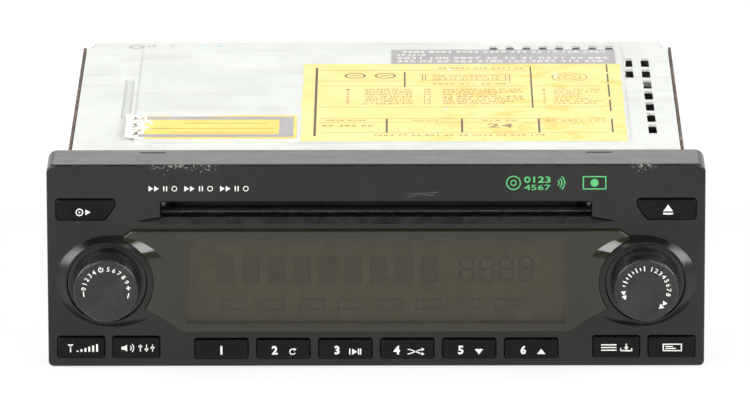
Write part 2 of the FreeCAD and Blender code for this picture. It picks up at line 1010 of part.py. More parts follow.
def panel_back():
    """The rear cover of the front panel, with the disc opening, two snap tongues and screw seats."""
    rear = panel_back_rear
    plate = outline_y(panel_corners(), panel_back_front, rear, -panel_wall - panel_back_gap)
    parts = []
    half = snap_width / 2
    top = panel_height - panel_wall - panel_back_gap
    low = top - snap_tongue_thickness
    nose_front = snap_slot_front + snap_gap
    nose_rear = snap_slot_rear - snap_gap
    for x in (-snap_centre, snap_centre):
        parts.append(box(x - half, x + half, snap_slot_front, rear, low, top))
        parts.append(box(x - half, x + half, nose_front, nose_rear, low, top + snap_nose_height))
    sleeve_front = board_rear + sheet_gap
    for x in lower_boss_places():
        parts.append(rod_y(boss_radius, x, lower_boss_z, sleeve_front, rear))
    for x, z in flange_screw_places():
        parts.append(rod_y(boss_radius + overlap, x, z, sleeve_front, rear))
    plate = joined(plate, *parts)
    room = slot_passage_gap
    half = slot_half + room
    tools = [box(-half, half, board_front, rear + through, slot_bottom - room, slot_top + room)]
    start = sleeve_front - through
    for x, z in cover_seat_places():
        tools.append(rod_y(screw_hole_radius, x, z, start, rear + through))
        tools.append(rod_y(screw_head_radius + seat_gap, x, z, rear - screw_head_height, rear + through))
    for x, z in flange_screw_places():
        tools.append(rod_y(screw_tap_radius, x, z, start, rear + through))
    return cut(plate, *tools)


def cover_seat_places():
    """The five screws that hold the rear cover on the front panel."""
    upper = [(x, upper_boss_z) for x in upper_boss_places()]
    lower = [(x, lower_boss_z) for x in lower_boss_places()]
    return upper + lower


def flange_screw_places():
    """The four screws that hold the chassis flanges on the rear cover of the front panel."""
    x = wall_inner - flange_reach / 2
    low = flange_bottom + flange_screw_inset
    high = flange_top - flange_screw_inset
    return [(-x, low), (-x, high), (x, low), (x, high)]


def post_places():
    """The four pressed posts that carry the main board, each with its screw."""
    return [(x, y) for x in (-post_x, post_x) for y in (post_front, post_rear)]


def side_hole_places():
    """The two threaded holes in each side wall for mounting brackets."""
    return [side_hole_front, side_hole_front + side_hole_spacing]


def ledge_fronts():
    """Where each ledge under the edge of the top cover starts."""
    return [first_ledge + i * ledge_pitch for i in range(ledges)]


def deck_ear_fronts():
    """Where each bracket of the deck starts."""
    return [deck_ear_front, deck_ear_rear]


def floor_beads(z):
    """The two long beads pressed up into the floor, as solids from a height z to the top of the beads."""
    half = floor_bead_width / 2
    outline = rectangle(floor_bead_x - half, floor_bead_x + half, floor_bead_front, floor_bead_rear, half)
    return both_sides(outline_z(outline, z, z + sheet + floor_bead_height))


def chassis_tray():
    """The steel chassis: floor and side walls in one bent sheet, with flanges, ledges and posts."""
    front = panel_depth
    floor_rear = rear_inner - sheet_gap
    floor = box(-wall_outer, wall_outer, front, floor_rear, chassis_bottom, chassis_bottom + sheet)
    wall = box(wall_inner, wall_outer, front, side_wall_rear, chassis_bottom, chassis_top)
    flange = box(wall_inner - flange_reach, wall_outer, front, front + sheet, flange_bottom, flange_top)
    parts = both_sides(wall) + both_sides(flange)
    ledge_top = chassis_top - sheet - sheet_gap
    for y in ledge_fronts():
        ledge = box(wall_inner - cover_ledge, wall_outer, y, y + ledge_length, ledge_top - sheet, ledge_top)
        parts += both_sides(ledge)
    for x, y in post_places():
        parts.append(rod_z(post_radius, x, y, chassis_bottom, main_board_z))
    for y in side_hole_places():
        nut = rod_x(side_hole_boss, y, side_hole_z, wall_outer - side_hole_depth, wall_outer)
        parts += both_sides(nut)
    dimple_z = chassis_top - side_dimple_drop
    for i in range(dimples):
        y = first_dimple + i * dimple_pitch
        dimple = rod_x(side_dimple_radius, y, dimple_z, wall_inner, wall_outer + side_dimple_height)
        parts += both_sides(dimple)
    parts += floor_beads(chassis_bottom)
    tray = joined(floor, *parts)
    tools = floor_beads(chassis_bottom - sheet)
    start = wall_outer - side_hole_depth - through
    for y in side_hole_places():
        tools += both_sides(rod_x(side_hole_radius, y, side_hole_z, start, wall_outer + through))
    for y in deck_ear_fronts():
        hole = rod_x(
            screw_hole_radius, y + deck_ear_length / 2, deck_screw_z, wall_inner - through, wall_outer + through
        )
        tools += both_sides(hole)
    for x, y in post_places():
        tools.append(rod_z(screw_tap_radius, x, y, chassis_bottom + sheet, main_board_z + through))
    for x, z in flange_screw_places():
        tools.append(rod_y(screw_hole_radius, x, z, front - through, front + sheet + through))
    return cut(tray, *tools)


def rear_panel():
    """The rear sheet: flat, with a slanted corner and a side flange on each side."""
    flat = wall_outer - rear_corner_inset
    side = wall_inner - sheet_gap
    corner = side_wall_rear
    flange_front = side_wall_rear - rear_flange_length
    slant = math.atan2(chassis_rear - corner, side - flat)
    inner_corner = corner - sheet * math.tan((math.pi / 2 - slant) / 2)
    inner_flat = flat - sheet * math.tan(slant / 2)
    right = [
        (side, flange_front, 0),
        (side, corner, 0),
        (flat, chassis_rear, 0),
    ]
    inside = [
        (inner_flat, rear_inner, 0),
        (side - sheet, inner_corner, 0),
        (side - sheet, flange_front, 0),
    ]
    left = [(-x, y, radius) for x, y, radius in reversed(right)]
    inside_left = [(-x, y, radius) for x, y, radius in reversed(inside)]
    low = chassis_bottom + sheet + sheet_gap
    high = chassis_top - sheet - sheet_gap
    plate = outline_z(right + left + inside_left + inside, low, high)
    start = rear_inner - through
    end = chassis_rear + through
    left_edge, right_edge, bottom, top = socket_limits()
    gap = seat_gap
    holes = [box(left_edge - gap, right_edge + gap, start, end, bottom - gap, top + gap)]
    holes.append(rod_y(aerial_radius + gap, aerial_x, aerial_z, start, end))
    holes.append(rod_y(stud_radius + gap, stud_x, stud_z, start, end))
    for x, z in heat_sink_screw_places():
        holes.append(rod_y(screw_hole_radius, x, z, start, end))
    for i in range(panel_vents):
        x = panel_vent_x + i * panel_vent_pitch
        holes.append(box(x, x + vent_width, start, end, panel_vent_bottom, panel_vent_bottom + vent_length))
    return cut(plate, *holes)


def vent_slot(centre_x, start_y, length):
    """One rounded slot through the top cover."""
    half = vent_width / 2
    corners = rectangle(centre_x - half, centre_x + half, start_y, start_y + length, vent_corner)
    return outline_z(corners, chassis_top - sheet - through, chassis_top + pressing_height + through)


def cover_vents():
    """All the slots of the top cover: a row across the rear and two columns at the right."""
    slots = []
    for i in range(rear_vents):
        x = rear_vent_first_x + i * rear_vent_pitch
        slots.append(vent_slot(x, rear_vent_end - vent_length, vent_length))
    for i in range(outer_vents):
        y = last_vent_centre - i * vent_pitch_y - vent_length / 2
        slots.append(vent_slot(outer_vent_x, y, vent_length))
    for i in range(inner_vents):
        y = last_vent_centre - i * vent_pitch_y - vent_length / 2
        slots.append(vent_slot(inner_vent_x, y, vent_length))
    return slots


def top_cover():
    """The galvanised lid, with a raised panel, a pressed bead, vents and notched rear corners."""
    low = chassis_top - sheet
    notch = wall_outer - rear_corner_inset
    right = [
        (cover_half, panel_depth, 0),
        (cover_half, side_wall_rear, 0),
        (notch, side_wall_rear, 0),
        (notch, chassis_rear, cover_corner),
    ]
    left = [(-x, y, radius) for x, y, radius in reversed(right)]
    plate = outline_z(right + left, low, chassis_top)
    rise = pressing_height
    raised = rectangle(
        pressed_panel_left, pressed_panel_right, pressed_panel_front, pressed_panel_rear, pressed_panel_corner
    )
    above = outline_z(raised, low + rise, chassis_top + rise)
    below = outline_z(raised, low - through, low + rise)
    bead = rectangle(bead_left, bead_left + bead_width, bead_front, bead_rear, bead_width / 2)
    rib = outline_z(bead, low - rise, chassis_top - rise)
    dip = outline_z(bead, chassis_top - rise, chassis_top + through)
    return cut(joined(plate, above, rib), below, dip, *cover_vents())


def cover_labels():
    """Three thin labels on the raised panel of the cover: a large one, a strip behind it and a small one."""
    z = chassis_top + pressing_height
    labels = [box(*limits, z, z + label_thickness) for limits in (large_label, strip_label, small_label)]
    return Part.makeCompound(labels)


def cover_screws():
    """Screws seen from outside: four hold the deck through the side walls, two clamp the heat sink."""
    screws = []
    head_end = wall_outer + screw_head_height
    for y in deck_ear_fronts():
        centre = y + deck_ear_length / 2
        shank = rod_x(screw_radius, centre, deck_screw_z, wall_outer - deck_screw_length, wall_outer)
        head = rod_x(screw_head_radius, centre, deck_screw_z, wall_outer, head_end)
        screws += both_sides(joined(shank, head))
    seat = heat_sink_front + heat_sink_base
    for x, z in heat_sink_screw_places():
        screws.append(screw_to_front(x, z, seat, chip_screw_length))
    return Part.makeCompound(screws)


def inner_screws():
    """Screws inside: five in the front panel, four in its flanges and four in the main board."""
    screws = []
    seat = panel_back_rear - screw_head_height
    for x, z in cover_seat_places():
        screws.append(screw_to_front(x, z, seat, panel_screw_length))
    for x, z in flange_screw_places():
        screws.append(screw_to_front(x, z, panel_depth + sheet, flange_screw_length))
    for x, y in post_places():
        shank = rod_z(screw_radius, x, y, board_top - board_screw_length, board_top)
        screws.append(joined(shank, rod_z(screw_head_radius, x, y, board_top, board_top + screw_head_height)))
    return Part.makeCompound(screws)


def main_board():
    """The main circuit board on the posts of the chassis."""
    plate = box(
        -main_board_half, main_board_half, main_board_front, main_board_rear, main_board_z, board_top
    )
    holes = [
        rod_z(screw_hole_radius, x, y, main_board_z - through, board_top + through) for x, y in post_places()
    ]
    return cut(plate, *holes)


def amplifier_chip():
    """The flat power chip that stands against the rear panel, with legs down to the board."""
    rear = rear_inner - sheet_gap
    front = rear - chip_thickness
    half = chip_width / 2
    low = board_top + chip_lift
    body = box(chip_x - half, chip_x + half, front, rear, low, low + chip_height)
    legs = []
    pitch = (chip_width - 2 * chip_edge) / (chip_legs - 1)
    for i in range(chip_legs):
        x = chip_x - half + chip_edge + i * pitch
        reach = chip_leg_width / 2
        legs.append(box(x - reach, x + reach, front, front + chip_leg_thickness, board_top, low + overlap))
    holes = [
        rod_y(screw_tap_radius, x, z, front - through, rear + through) for x, z in heat_sink_screw_places()
    ]
    return cut(joined(body, *legs), *holes)


def heat_sink_screw_places():
    """Two screws that clamp the power chip and the heat sink on the rear panel."""
    z = board_top + chip_lift + chip_height / 2
    reach = chip_width / 2 - chip_screw_inset
    return [(chip_x - reach, z), (chip_x + reach, z)]


def tuner_can():
    """The screened tuner, a tin box with a lid."""
    half = tuner_width / 2
    left = tuner_x - half
    right = tuner_x + half
    front = tuner_rear - tuner_length
    top = board_top + tuner_height
    skin = tuner_lid_thickness
    can = box(left, right, front, tuner_rear, board_top, top)
    lid = box(left - skin, right + skin, front - skin, tuner_rear + skin, top - tuner_lid_height, top + skin)
    return joined(can, lid)


def capacitors():
    """Two large capacitors beside the deck and a row of small ones under it."""
    cans = []
    top = board_top + big_capacitor_height
    for i in range(2):
        y = big_capacitor_y + i * big_capacitor_pitch
        cans.append(rod_z(big_capacitor_radius, big_capacitor_x, y, board_top, top))
    top = board_top + small_capacitor_height
    for i in range(small_capacitors):
        x = small_capacitor_x + i * small_capacitor_pitch
        cans.append(rod_z(small_capacitor_radius, x, small_capacitor_y, board_top, top))
    return Part.makeCompound(cans)


def heat_sink():
    """A finned aluminium block on the rear panel, over the power chip."""
    x0 = heat_sink_left
    x1 = x0 + heat_sink_width
    y0 = heat_sink_front
    y1 = y0 + heat_sink_base
    z0 = heat_sink_bottom
    z1 = z0 + heat_sink_height
    base = box(x0, x1, y0, y1, z0, z1)
    pitch = (heat_sink_width - fin_thickness) / (fins - 1)
    parts = []
    for i in range(fins):
        x = x0 + i * pitch
        parts.append(box(x, x + fin_thickness, y0, y1 + heat_sink_fin, z0, z1))
    sink = joined(base, *parts)
    holes = []
    for x, z in heat_sink_screw_places():
        holes.append(rod_y(screw_hole_radius, x, z, y0 - through, y1 + through))
        holes.append(rod_y(screw_head_radius + seat_gap, x, z, y1, y1 + heat_sink_fin + through))
    return cut(sink, *holes)


def socket_limits():
    """Left, right, bottom and top of the wiring socket where it passes through the rear panel."""
    right = socket_left + socket_chambers * chamber_width + (socket_chambers + 1) * socket_wall
    top = fuse_place_bottom() + fuse_height + fuse_holder_wall
    return socket_left, right, board_top, top


def fuse_place_bottom():
    """The height of the fuse's lower side."""
    return board_top + chamber_height + 2 * socket_wall + seat_gap


def chamber_limits(index):
    """Left, right, bottom and top of one of the two plug chambers."""
    left = socket_left + socket_wall + index * (chamber_width + socket_wall)
    low = board_top + socket_wall
    return left, left + chamber_width, low, low + chamber_height


def fuse_place():
    """Left, bottom and front of the fuse body in its holder."""
    left = socket_limits()[1] - fuse_width - fuse_holder_wall
    return left, fuse_place_bottom(), socket_rear - fuse_length


def fuse_blade_starts():
    """The left side of each blade of the fuse."""
    left = fuse_place()[0]
    return [left + fuse_blade_inset, left + fuse_width - fuse_blade_inset - fuse_blade_width]


def fuse_blade(x, grow):
    """One blade of the fuse, or the hole for it when it is grown by a clearance."""
    left, bottom, front = fuse_place()
    middle = bottom + fuse_height / 2
    thick = fuse_blade_thickness / 2 + grow
    right = x + fuse_blade_width + grow
    tip = front - fuse_blade_length - grow
    return box(x - grow, right, tip, front + overlap, middle - thick, middle + thick)


def wiring_socket():
    """The socket for the car's wiring: two chambers of contact blades, and a fuse holder on top."""
    left, right, bottom, top = socket_limits()
    lower_top = bottom + chamber_height + 2 * socket_wall
    block = box(left, right, deck_clear, socket_rear, bottom, lower_top)
    foot = box(left, right, socket_foot_front, deck_clear + overlap, bottom, deck_bottom - seat_gap)
    fuse_left, fuse_bottom, fuse_front = fuse_place()
    holder_rear = socket_rear - fuse_holder_setback
    holder = box(fuse_left - fuse_holder_wall, right, deck_clear, holder_rear, lower_top - overlap, top)
    tools = []
    blades = []
    floor = socket_rear - chamber_depth
    for index in range(2):
        x0, x1, z0, z1 = chamber_limits(index)
        tools.append(box(x0, x1, floor, socket_rear + through, z0, z1))
        blades += contact_blades((x0 + x1) / 2, (z0 + z1) / 2, floor)
    gap = fuse_gap
    fuse_right = fuse_left + fuse_width
    low = fuse_bottom - gap
    high = fuse_bottom + fuse_height + gap
    tools.append(box(fuse_left - gap, fuse_right + gap, fuse_front - gap, socket_rear + through, low, high))
    for x in fuse_blade_starts():
        tools.append(fuse_blade(x, gap))
    return joined(cut(joined(block, foot, holder), *tools), *blades)


def contact_blades(centre_x, centre_z, floor):
    """Two rows of four flat contacts in one chamber."""
    blades = []
    half = blade_width / 2
    thick = blade_thickness / 2
    front = floor - overlap
    rear = floor + blade_length
    first_x = centre_x - (blade_columns - 1) * blade_pitch / 2
    for row in blade_rows:
        z = centre_z + row * blade_pitch
        for column in range(blade_columns):
            x = first_x + column * blade_pitch
            blades.append(box(x - half, x + half, front, rear, z - thick, z + thick))
    return blades


def fuse():
    """A flat blade fuse in its holder."""
    left, bottom, front = fuse_place()
    body = box(left, left + fuse_width, front, front + fuse_length, bottom, bottom + fuse_height)
    body = body.makeFillet(fuse_edge_round, edges_on_plane_y(body, front + fuse_length))
    blades = [fuse_blade(x, 0) for x in fuse_blade_starts()]
    return joined(body, *blades)


def aerial_socket():
    """The round aerial socket, with a free bore for the plug and a small hole for its pin."""
    front = rear_inner - aerial_inside
    body = rod_y(aerial_radius, aerial_x, aerial_z, front, aerial_rear)
    outside = chassis_rear + sheet_gap
    collar = rod_y(aerial_collar_radius, aerial_x, aerial_z, outside, outside + aerial_collar_thickness)
    half = aerial_foot_width / 2
    foot = box(aerial_x - half, aerial_x + half, front, rear_inner - through, board_top, aerial_z)
    bore_front = aerial_rear - aerial_bore_depth
    bore = rod_y(aerial_bore_radius, aerial_x, aerial_z, bore_front, aerial_rear + through)
    pin_hole = rod_y(aerial_pin_hole, aerial_x, aerial_z, bore_front - aerial_pin_depth, bore_front + through)
    return cut(joined(body, collar, foot), bore, pin_hole)


def hexagon_nut(x, z, y0, y1):
    """A solid six-sided nut round an axis along Y, before its bore is cut."""
    corner = nut_across / 2 / math.cos(math.pi / nut_sides)
    corners = []
    for i in range(nut_sides):
        angle = 2 * math.pi * i / nut_sides
        corners.append((x + corner * math.cos(angle), z + corner * math.sin(angle), 0))
    return outline_y(corners, y0, y1)


def rear_stud():
    """The threaded stud that rests in the car's rear bracket, with its head inside and its nut outside."""
    head_rear = rear_inner - sheet_gap
    nut_front = chassis_rear + sheet_gap
    nut_rear = nut_front + stud_nut_height
    neck_rear = nut_rear + stud_neck_length
    neck = rod_y(stud_neck_radius, stud_x, stud_z, head_rear - overlap, neck_rear)
    pin = rod_y(stud_radius, stud_x, stud_z, neck_rear, stud_rear)
    head = hexagon_nut(stud_x, stud_z, head_rear - stud_nut_height, head_rear)
    nut = hexagon_nut(stud_x, stud_z, nut_front, nut_rear)
    return joined(neck, head, nut, pin)


def deck_ear(y):
    """A bracket from the deck to the side wall, with a tapped tab for a screw from outside."""
    reach = wall_inner - sheet_gap
    rear = y + deck_ear_length
    shelf = box(deck_inner, reach, y, rear, deck_top - deck_sheet, deck_top)
    tab = box(reach - deck_sheet, reach, y, rear, deck_screw_z - deck_tab_drop, deck_top)
    hole = rod_x(
        screw_tap_radius, y + deck_ear_length / 2, deck_screw_z, reach - 2 * deck_sheet, reach + through
    )
    return cut(joined(shelf, tab), hole)


def deck_frame():
    """The steel frame of the disc deck: floor, walls, disc guide, brackets and pins for its levers."""
    floor = box(-deck_half, deck_half, deck_front, deck_rear, deck_bottom, deck_floor)
    wall = box(deck_inner, deck_half, deck_front, deck_rear, deck_bottom, deck_top)
    rear = box(-deck_half, deck_half, deck_rear - deck_sheet, deck_rear, deck_bottom, deck_rear_top)
    guide_top = guide_z + deck_sheet
    guide = box(-guide_half, guide_half, guide_front, guide_bridge_rear, guide_z, guide_top)
    bridge = box(-deck_half, deck_half, guide_bridge_front, guide_bridge_rear, guide_z, guide_top)
    parts = both_sides(wall) + [rear, guide, bridge]
    for y in deck_ear_fronts():
        parts += both_sides(deck_ear(y))
    pin_start = bracket_half - bracket_sheet - seat_gap
    parts += both_sides(rod_x(pivot_radius, bracket_pivot_y, bracket_pivot_z, pin_start, deck_half))
    post_outer = clamp_arm_half - deck_sheet - clamp_post_gap
    post_inner = post_outer - deck_sheet
    post_front = clamp_pivot_y - clamp_post_reach
    post = box(post_inner, post_outer, post_front, deck_rear, deck_bottom, clamp_pivot_z + clamp_post_rise)
    pin_end = clamp_arm_half + seat_gap
    pin = rod_x(pivot_radius, clamp_pivot_y, clamp_pivot_z, post_inner, pin_end)
    parts += both_sides(post) + both_sides(pin)
    low = deck_bottom - through
    high = deck_floor + through
    window = box(-deck_window_half, deck_window_half, deck_window_front, deck_window_rear, low, high)
    return cut(joined(floor, *parts), window)


def damper_places():
    """The middle of each rubber damper, near the corners of the traverse."""
    left = traverse_left + damper_inset
    right = traverse_right - damper_inset
    front = traverse_front + damper_inset
    rear = traverse_rear - damper_inset
    return [(left, front), (left, rear), (right, front), (right, rear)]


def damper_rubbers():
    """Four rubber dampers between the deck floor and the traverse."""
    rubbers = []
    for x, y in damper_places():
        column = rod_z(damper_radius, x, y, deck_floor, traverse_bottom)
        low = deck_floor + damper_flange
        high = traverse_bottom - damper_flange
        waist = rod_z(damper_radius + through, x, y, low, high)
        waist = cut(waist, rod_z(damper_waist_radius, x, y, deck_floor, traverse_bottom))
        rubbers.append(cut(column, waist))
    return Part.makeCompound(rubbers)


def rod_places():
    """The depth of each guide rod of the pickup."""
    return [spindle_y - rod_offset, spindle_y + rod_offset]


def traverse_base():
    """The floating plate that carries the spindle, the rods and the sled drive."""
    start = traverse_rod_start
    end = traverse_rod_end
    top = rod_height + post_half_width
    plate = box(traverse_left, traverse_right, traverse_front, traverse_rear, traverse_bottom, traverse_top)
    posts = []
    for y in rod_places():
        low = y - post_half_width
        high = y + post_half_width
        posts.append(box(start, start + post_thickness, low, high, traverse_bottom, top))
        posts.append(box(end - post_thickness, end, low, high, traverse_bottom, top))
    low = screw_y - post_half_width
    high = screw_y + post_half_width
    posts.append(box(end - post_thickness, end, low, high, traverse_bottom, top))
    low = screw_y - motor_bracket_half
    high = screw_y + motor_bracket_half
    posts.append(box(start, start + post_thickness, low, high, traverse_bottom, motor_bracket_top))
    room = sled_motor_radius + seat_gap
    low = traverse_bottom - through
    left = start - sled_motor_length - through
    window = box(left, start, screw_y - room, screw_y + room, low, traverse_top + through)
    tools = [window]
    for y in rod_places():
        tools.append(rod_x(rod_radius + fit_gap, y, rod_height, start - through, end + through))
    tools.append(
        rod_x(thread_core + running_gap, screw_y, rod_height, end - post_thickness - through, end + through)
    )
    tools.append(
        rod_x(thread_radius + seat_gap, screw_y, rod_height, start - through, start + post_thickness + through)
    )
    return cut(joined(plate, *posts), *tools)


def spindle_motor():
    """The flat motor under the turntable."""
    top = traverse_top + spindle_motor_height
    body = rod_z(spindle_motor_radius, 0, spindle_y, traverse_top, top)
    bore = rod_z(spindle_radius + running_gap, 0, spindle_y, traverse_top + spindle_socket, top + through)
    return cut(body, bore)


def turntable():
    """The turntable with its centring hub, its rubber ring's groove and its spindle."""
    low = turntable_top - turntable_thickness
    plate = rod_z(turntable_radius, 0, spindle_y, low, turntable_top)
    hub = Part.makeCone(hub_radius, hub_top_radius, hub_height, vector(0, spindle_y, turntable_top))
    neck = rod_z(turntable_neck_radius, 0, spindle_y, low - turntable_neck, turntable_top)
    spindle_low = traverse_top + spindle_socket + seat_gap
    spindle = rod_z(spindle_radius, 0, spindle_y, spindle_low, turntable_top)
    outer = turntable_radius - turntable_pad_inset
    pad_low = turntable_top - turntable_pad_depth
    groove = rod_z(outer, 0, spindle_y, pad_low, turntable_top + through)
    groove = cut(groove, rod_z(outer - turntable_pad_width, 0, spindle_y, low, turntable_top + 2 * through))
    return cut(joined(plate, hub, neck, spindle), groove)


def clamp_arm():
    """The lever over the disc, which presses the clamper down on the turntable."""
    nose = clamp_nose_half
    half = clamp_arm_half
    z = clamp_arm_z
    rear = clamp_pivot_y + arm_rear_reach
    widens = spindle_y + clamper_radius + arm_nose_room
    corner = arm_corner
    right = [
        (nose, clamp_nose_front, corner),
        (nose, widens, corner),
        (half, rear - arm_tail_length, corner),
        (half, rear, 0),
    ]
    left = [(-x, y, radius) for x, y, radius in reversed(right)]
    plate = outline_z(right + left, z, z + deck_sheet)
    low = clamp_pivot_z - arm_ear_drop
    ear_rear = clamp_pivot_y + arm_ear_drop
    ear_outline = [
        (clamp_pivot_y - arm_ear_front, z + deck_sheet, 0),
        (clamp_pivot_y - arm_ear_drop, low, 1),
        (ear_rear, low, 1),
        (ear_rear, z + deck_sheet, 0),
    ]
    ear = outline_x(ear_outline, half - deck_sheet, half)
    window_front = spindle_y + arm_window_front
    window_rear = rear - arm_window_rear
    window_outline = [
        (-arm_window_nose, window_front, 2),
        (arm_window_nose, window_front, 2),
        (arm_window_tail, window_rear, 2),
        (-arm_window_tail, window_rear, 2),
    ]
    top = z + deck_sheet + through
    window = outline_z(window_outline, z - through, top)
    hole = rod_z(clamper_neck + clamper_neck_gap, 0, spindle_y, z - through, top)
    pin_start = half - 2 * deck_sheet
    pin_hole = rod_x(pivot_radius + running_gap, clamp_pivot_y, clamp_pivot_z, pin_start, half + through)
    return cut(joined(plate, *both_sides(ear)), hole, window, *both_sides(pin_hole))


def clamper():
    """The round clamper that hangs in the arm by its upper flange."""
    low = clamper_bottom
    top = low + clamper_thickness
    flange_low = clamp_arm_z + deck_sheet + clamper_lift_gap
    flange_top = flange_low + clamper_flange_thickness
    disc = rod_z(clamper_radius, 0, spindle_y, low, top)
    neck = rod_z(clamper_neck, 0, spindle_y, low, flange_top)
    flange = rod_z(clamper_flange, 0, spindle_y, flange_low, flange_top)
    recess = rod_z(hub_radius + clamper_recess_gap, 0, spindle_y, low - through, low + hub_height)
    return cut(joined(disc, neck, flange), recess)


def optical_pickup():
    """The pickup on its two guide rods, with the lens on top and a finger beside the lead screw."""
    x0 = lens_rest_radius - pickup_inner
    x1 = lens_rest_radius + pickup_outer
    y0 = spindle_y - pickup_half_width
    y1 = spindle_y + pickup_half_width
    top = pickup_bottom + pickup_height
    body = box(x0, x1, y0, y1, pickup_bottom, top)
    finger_end = screw_y - thread_radius - seat_gap
    low = rod_height - finger_half_height
    high = rod_height + finger_half_height
    finger = box(x0 + finger_inset, x1 - finger_inset, y1 - overlap, finger_end, low, high)
    lens = rod_z(pickup_lens_radius, lens_rest_radius, spindle_y, top - overlap, top + pickup_lens_height)
    low = spindle_y - pickup_hollow_half
    high = spindle_y + pickup_hollow_half
    hollow = box(
        x0 - through, x1 + through, low, high, pickup_bottom - through, pickup_bottom + pickup_hollow_depth
    )
    bores = [rod_x(rod_radius + running_gap, y, rod_height, x0 - through, x1 + through) for y in rod_places()]
    return cut(joined(body, finger, lens), hollow, *bores)


def guide_rods():
    """The two polished rods that the pickup slides on."""
    rods = [rod_x(rod_radius, y, rod_height, traverse_rod_start, traverse_rod_end) for y in rod_places()]
    return Part.makeCompound(rods)


def lead_screw():
    """The screw that drives the pickup: a round core with a ridge that winds along it."""
    start = traverse_rod_start - screw_in_motor
    end = traverse_rod_end - running_gap
    foot = thread_core - thread_sunk
    path = Part.makeHelix(thread_pitch, thread_length, foot)
    crest = [(thread_radius, -thread_crest), (thread_radius, thread_crest)]
    corners = [(foot, -thread_foot)] + crest + [(foot, thread_foot)]
    section = Part.makePolygon([vector(a, 0, b) for a, b in corners + corners[:1]])
    ridge = Part.Wire(path).makePipeShell([section], True, True)
    ridge.rotate(vector(0, 0, 0), vector(0, 1, 0), quarter_turn)
    ridge.translate(vector(traverse_rod_start + post_thickness + thread_foot + seat_gap, screw_y, rod_height))
    return rod_x(thread_core, screw_y, rod_height, start, end).fuse(ridge)


def sled_motor():
    """The small motor that turns the lead screw, with a flat on top and a bore for the screw's end."""
    end = traverse_rod_start
    start = end - sled_motor_length
    body = rod_x(sled_motor_radius, screw_y, rod_height, start, end)
    low = rod_height + sled_motor_flat
    side = 2 * sled_motor_radius
    flat = box(start - through, end + through, screw_y - side, screw_y + side, low, low + side)
    bore = rod_x(
        thread_core + running_gap, screw_y, rod_height, end - screw_in_motor - seat_gap, end + through
    )
    return cut(body, flat, bore)


def roller_bracket():
    """The lever that carries the loading roller: two side plates and a cross plate in front."""
    inner = bracket_half - bracket_sheet
    outer = bracket_half + through
    front = roller_y - bracket_front
    corner = bracket_corner
    outline = [
        (front, roller_z - bracket_low, corner),
        (pinion_y + loading_motor_radius + 1, pinion_z - loading_motor_radius, 2 * corner),
        (bracket_pivot_y + pivot_radius + corner, bracket_pivot_z, corner),
        (bracket_pivot_y, bracket_pivot_z + pivot_radius + corner, corner),
        (front, roller_z + bracket_high, corner),
    ]
    plate = outline_x(outline, inner, bracket_half)
    low = roller_z - cross_plate_low
    high = roller_z - cross_plate_high
    cross = box(-inner - overlap, inner + overlap, front, front + cross_plate_thickness, low, high)
    tools = [rod_x(motor_shaft_hole, pinion_y, pinion_z, inner - through, outer)]
    tools += both_sides(rod_x(roller_shaft_radius + running_gap, roller_y, roller_z, inner - through, outer))
    tools += both_sides(
        rod_x(pivot_radius + running_gap, bracket_pivot_y, bracket_pivot_z, inner - through, outer)
    )
    return cut(joined(cross, *both_sides(plate)), *tools)


def loading_roller():
    """The rubber roller that pulls the disc in, thinner in the middle, and its steel shaft."""
    half = roller_half
    shaft = rod_x(roller_shaft_radius, roller_y, roller_z, -bracket_half - shaft_end, gear_end + shaft_end)
    waist = roller_radius - roller_taper
    axis = vector(1, 0, 0)
    left = Part.makeCone(roller_radius, waist, half, vector(-half, roller_y, roller_z), axis)
    right = Part.makeCone(waist, roller_radius, half, vector(0, roller_y, roller_z), axis)
    bore = rod_x(roller_shaft_radius + fit_gap, roller_y, roller_z, -half - through, half + through)
    return Part.makeCompound([shaft, cut(joined(left, right), bore)])


def loading_motor():
    """The motor on the bracket, which turns the roller through two gears."""
    end = bracket_half - bracket_sheet
    start = end - loading_motor_length
    body = rod_x(loading_motor_radius, pinion_y, pinion_z, start, end)
    rear_cap = rod_x(motor_cap_radius, pinion_y, pinion_z, start - motor_cap_length, end)
    bore_start = end - motor_shaft_depth - seat_gap
    bore = rod_x(motor_shaft_radius + running_gap, pinion_y, pinion_z, bore_start, end + through)
    return cut(joined(body, rear_cap), bore)


def involute(angle):
    """The involute function of an angle."""
    return math.tan(angle) - angle


def gear_wire(teeth, phase, centre_y, centre_z, x):
    """The outline of a spur gear on an axis along X. phase is one tooth's direction, in radians."""
    pitch_radius = gear_module * teeth / 2
    pressure = math.radians(pressure_angle)
    base = pitch_radius * math.cos(pressure)
    root = pitch_radius - tooth_root * gear_module
    tip = pitch_radius + gear_module
    half_pitch = math.pi / (2 * teeth) - gear_backlash / (2 * pitch_radius)

    def half_angle(radius):
        at_base = half_pitch + involute(pressure)
        if radius <= base:
            return at_base
        return at_base - involute(math.acos(base / radius))

    def point(radius, angle):
        return vector(x, centre_y + radius * math.cos(angle), centre_z + radius * math.sin(angle))

    start = max(base, root)
    middle = (start + tip) / 2
    step = 2 * math.pi / teeth
    edges = []
    for i in range(teeth):
        axis = phase + i * step
        low = half_angle(root)
        high = half_angle(tip)
        mid = half_angle(middle)
        if root < base:
            edges.append(Part.LineSegment(point(root, axis - low), point(start, axis - low)).toShape())
        flank = [point(start, axis - half_angle(start)), point(middle, axis - mid), point(tip, axis - high)]
        edges.append(Part.Arc(*flank).toShape())
        edges.append(Part.Arc(point(tip, axis - high), point(tip, axis), point(tip, axis + high)).toShape())
        flank = [point(tip, axis + high), point(middle, axis + mid), point(start, axis + half_angle(start))]
        edges.append(Part.Arc(*flank).toShape())
        if root < base:
            edges.append(Part.LineSegment(point(start, axis + low), point(root, axis + low)).toShape())
        gap_middle = axis + step / 2
        following = axis + step - low
        valley = [point(root, axis + low), point(root, gap_middle), point(root, following)]
        edges.append(Part.Arc(*valley).toShape())
    return Part.Wire(edges)


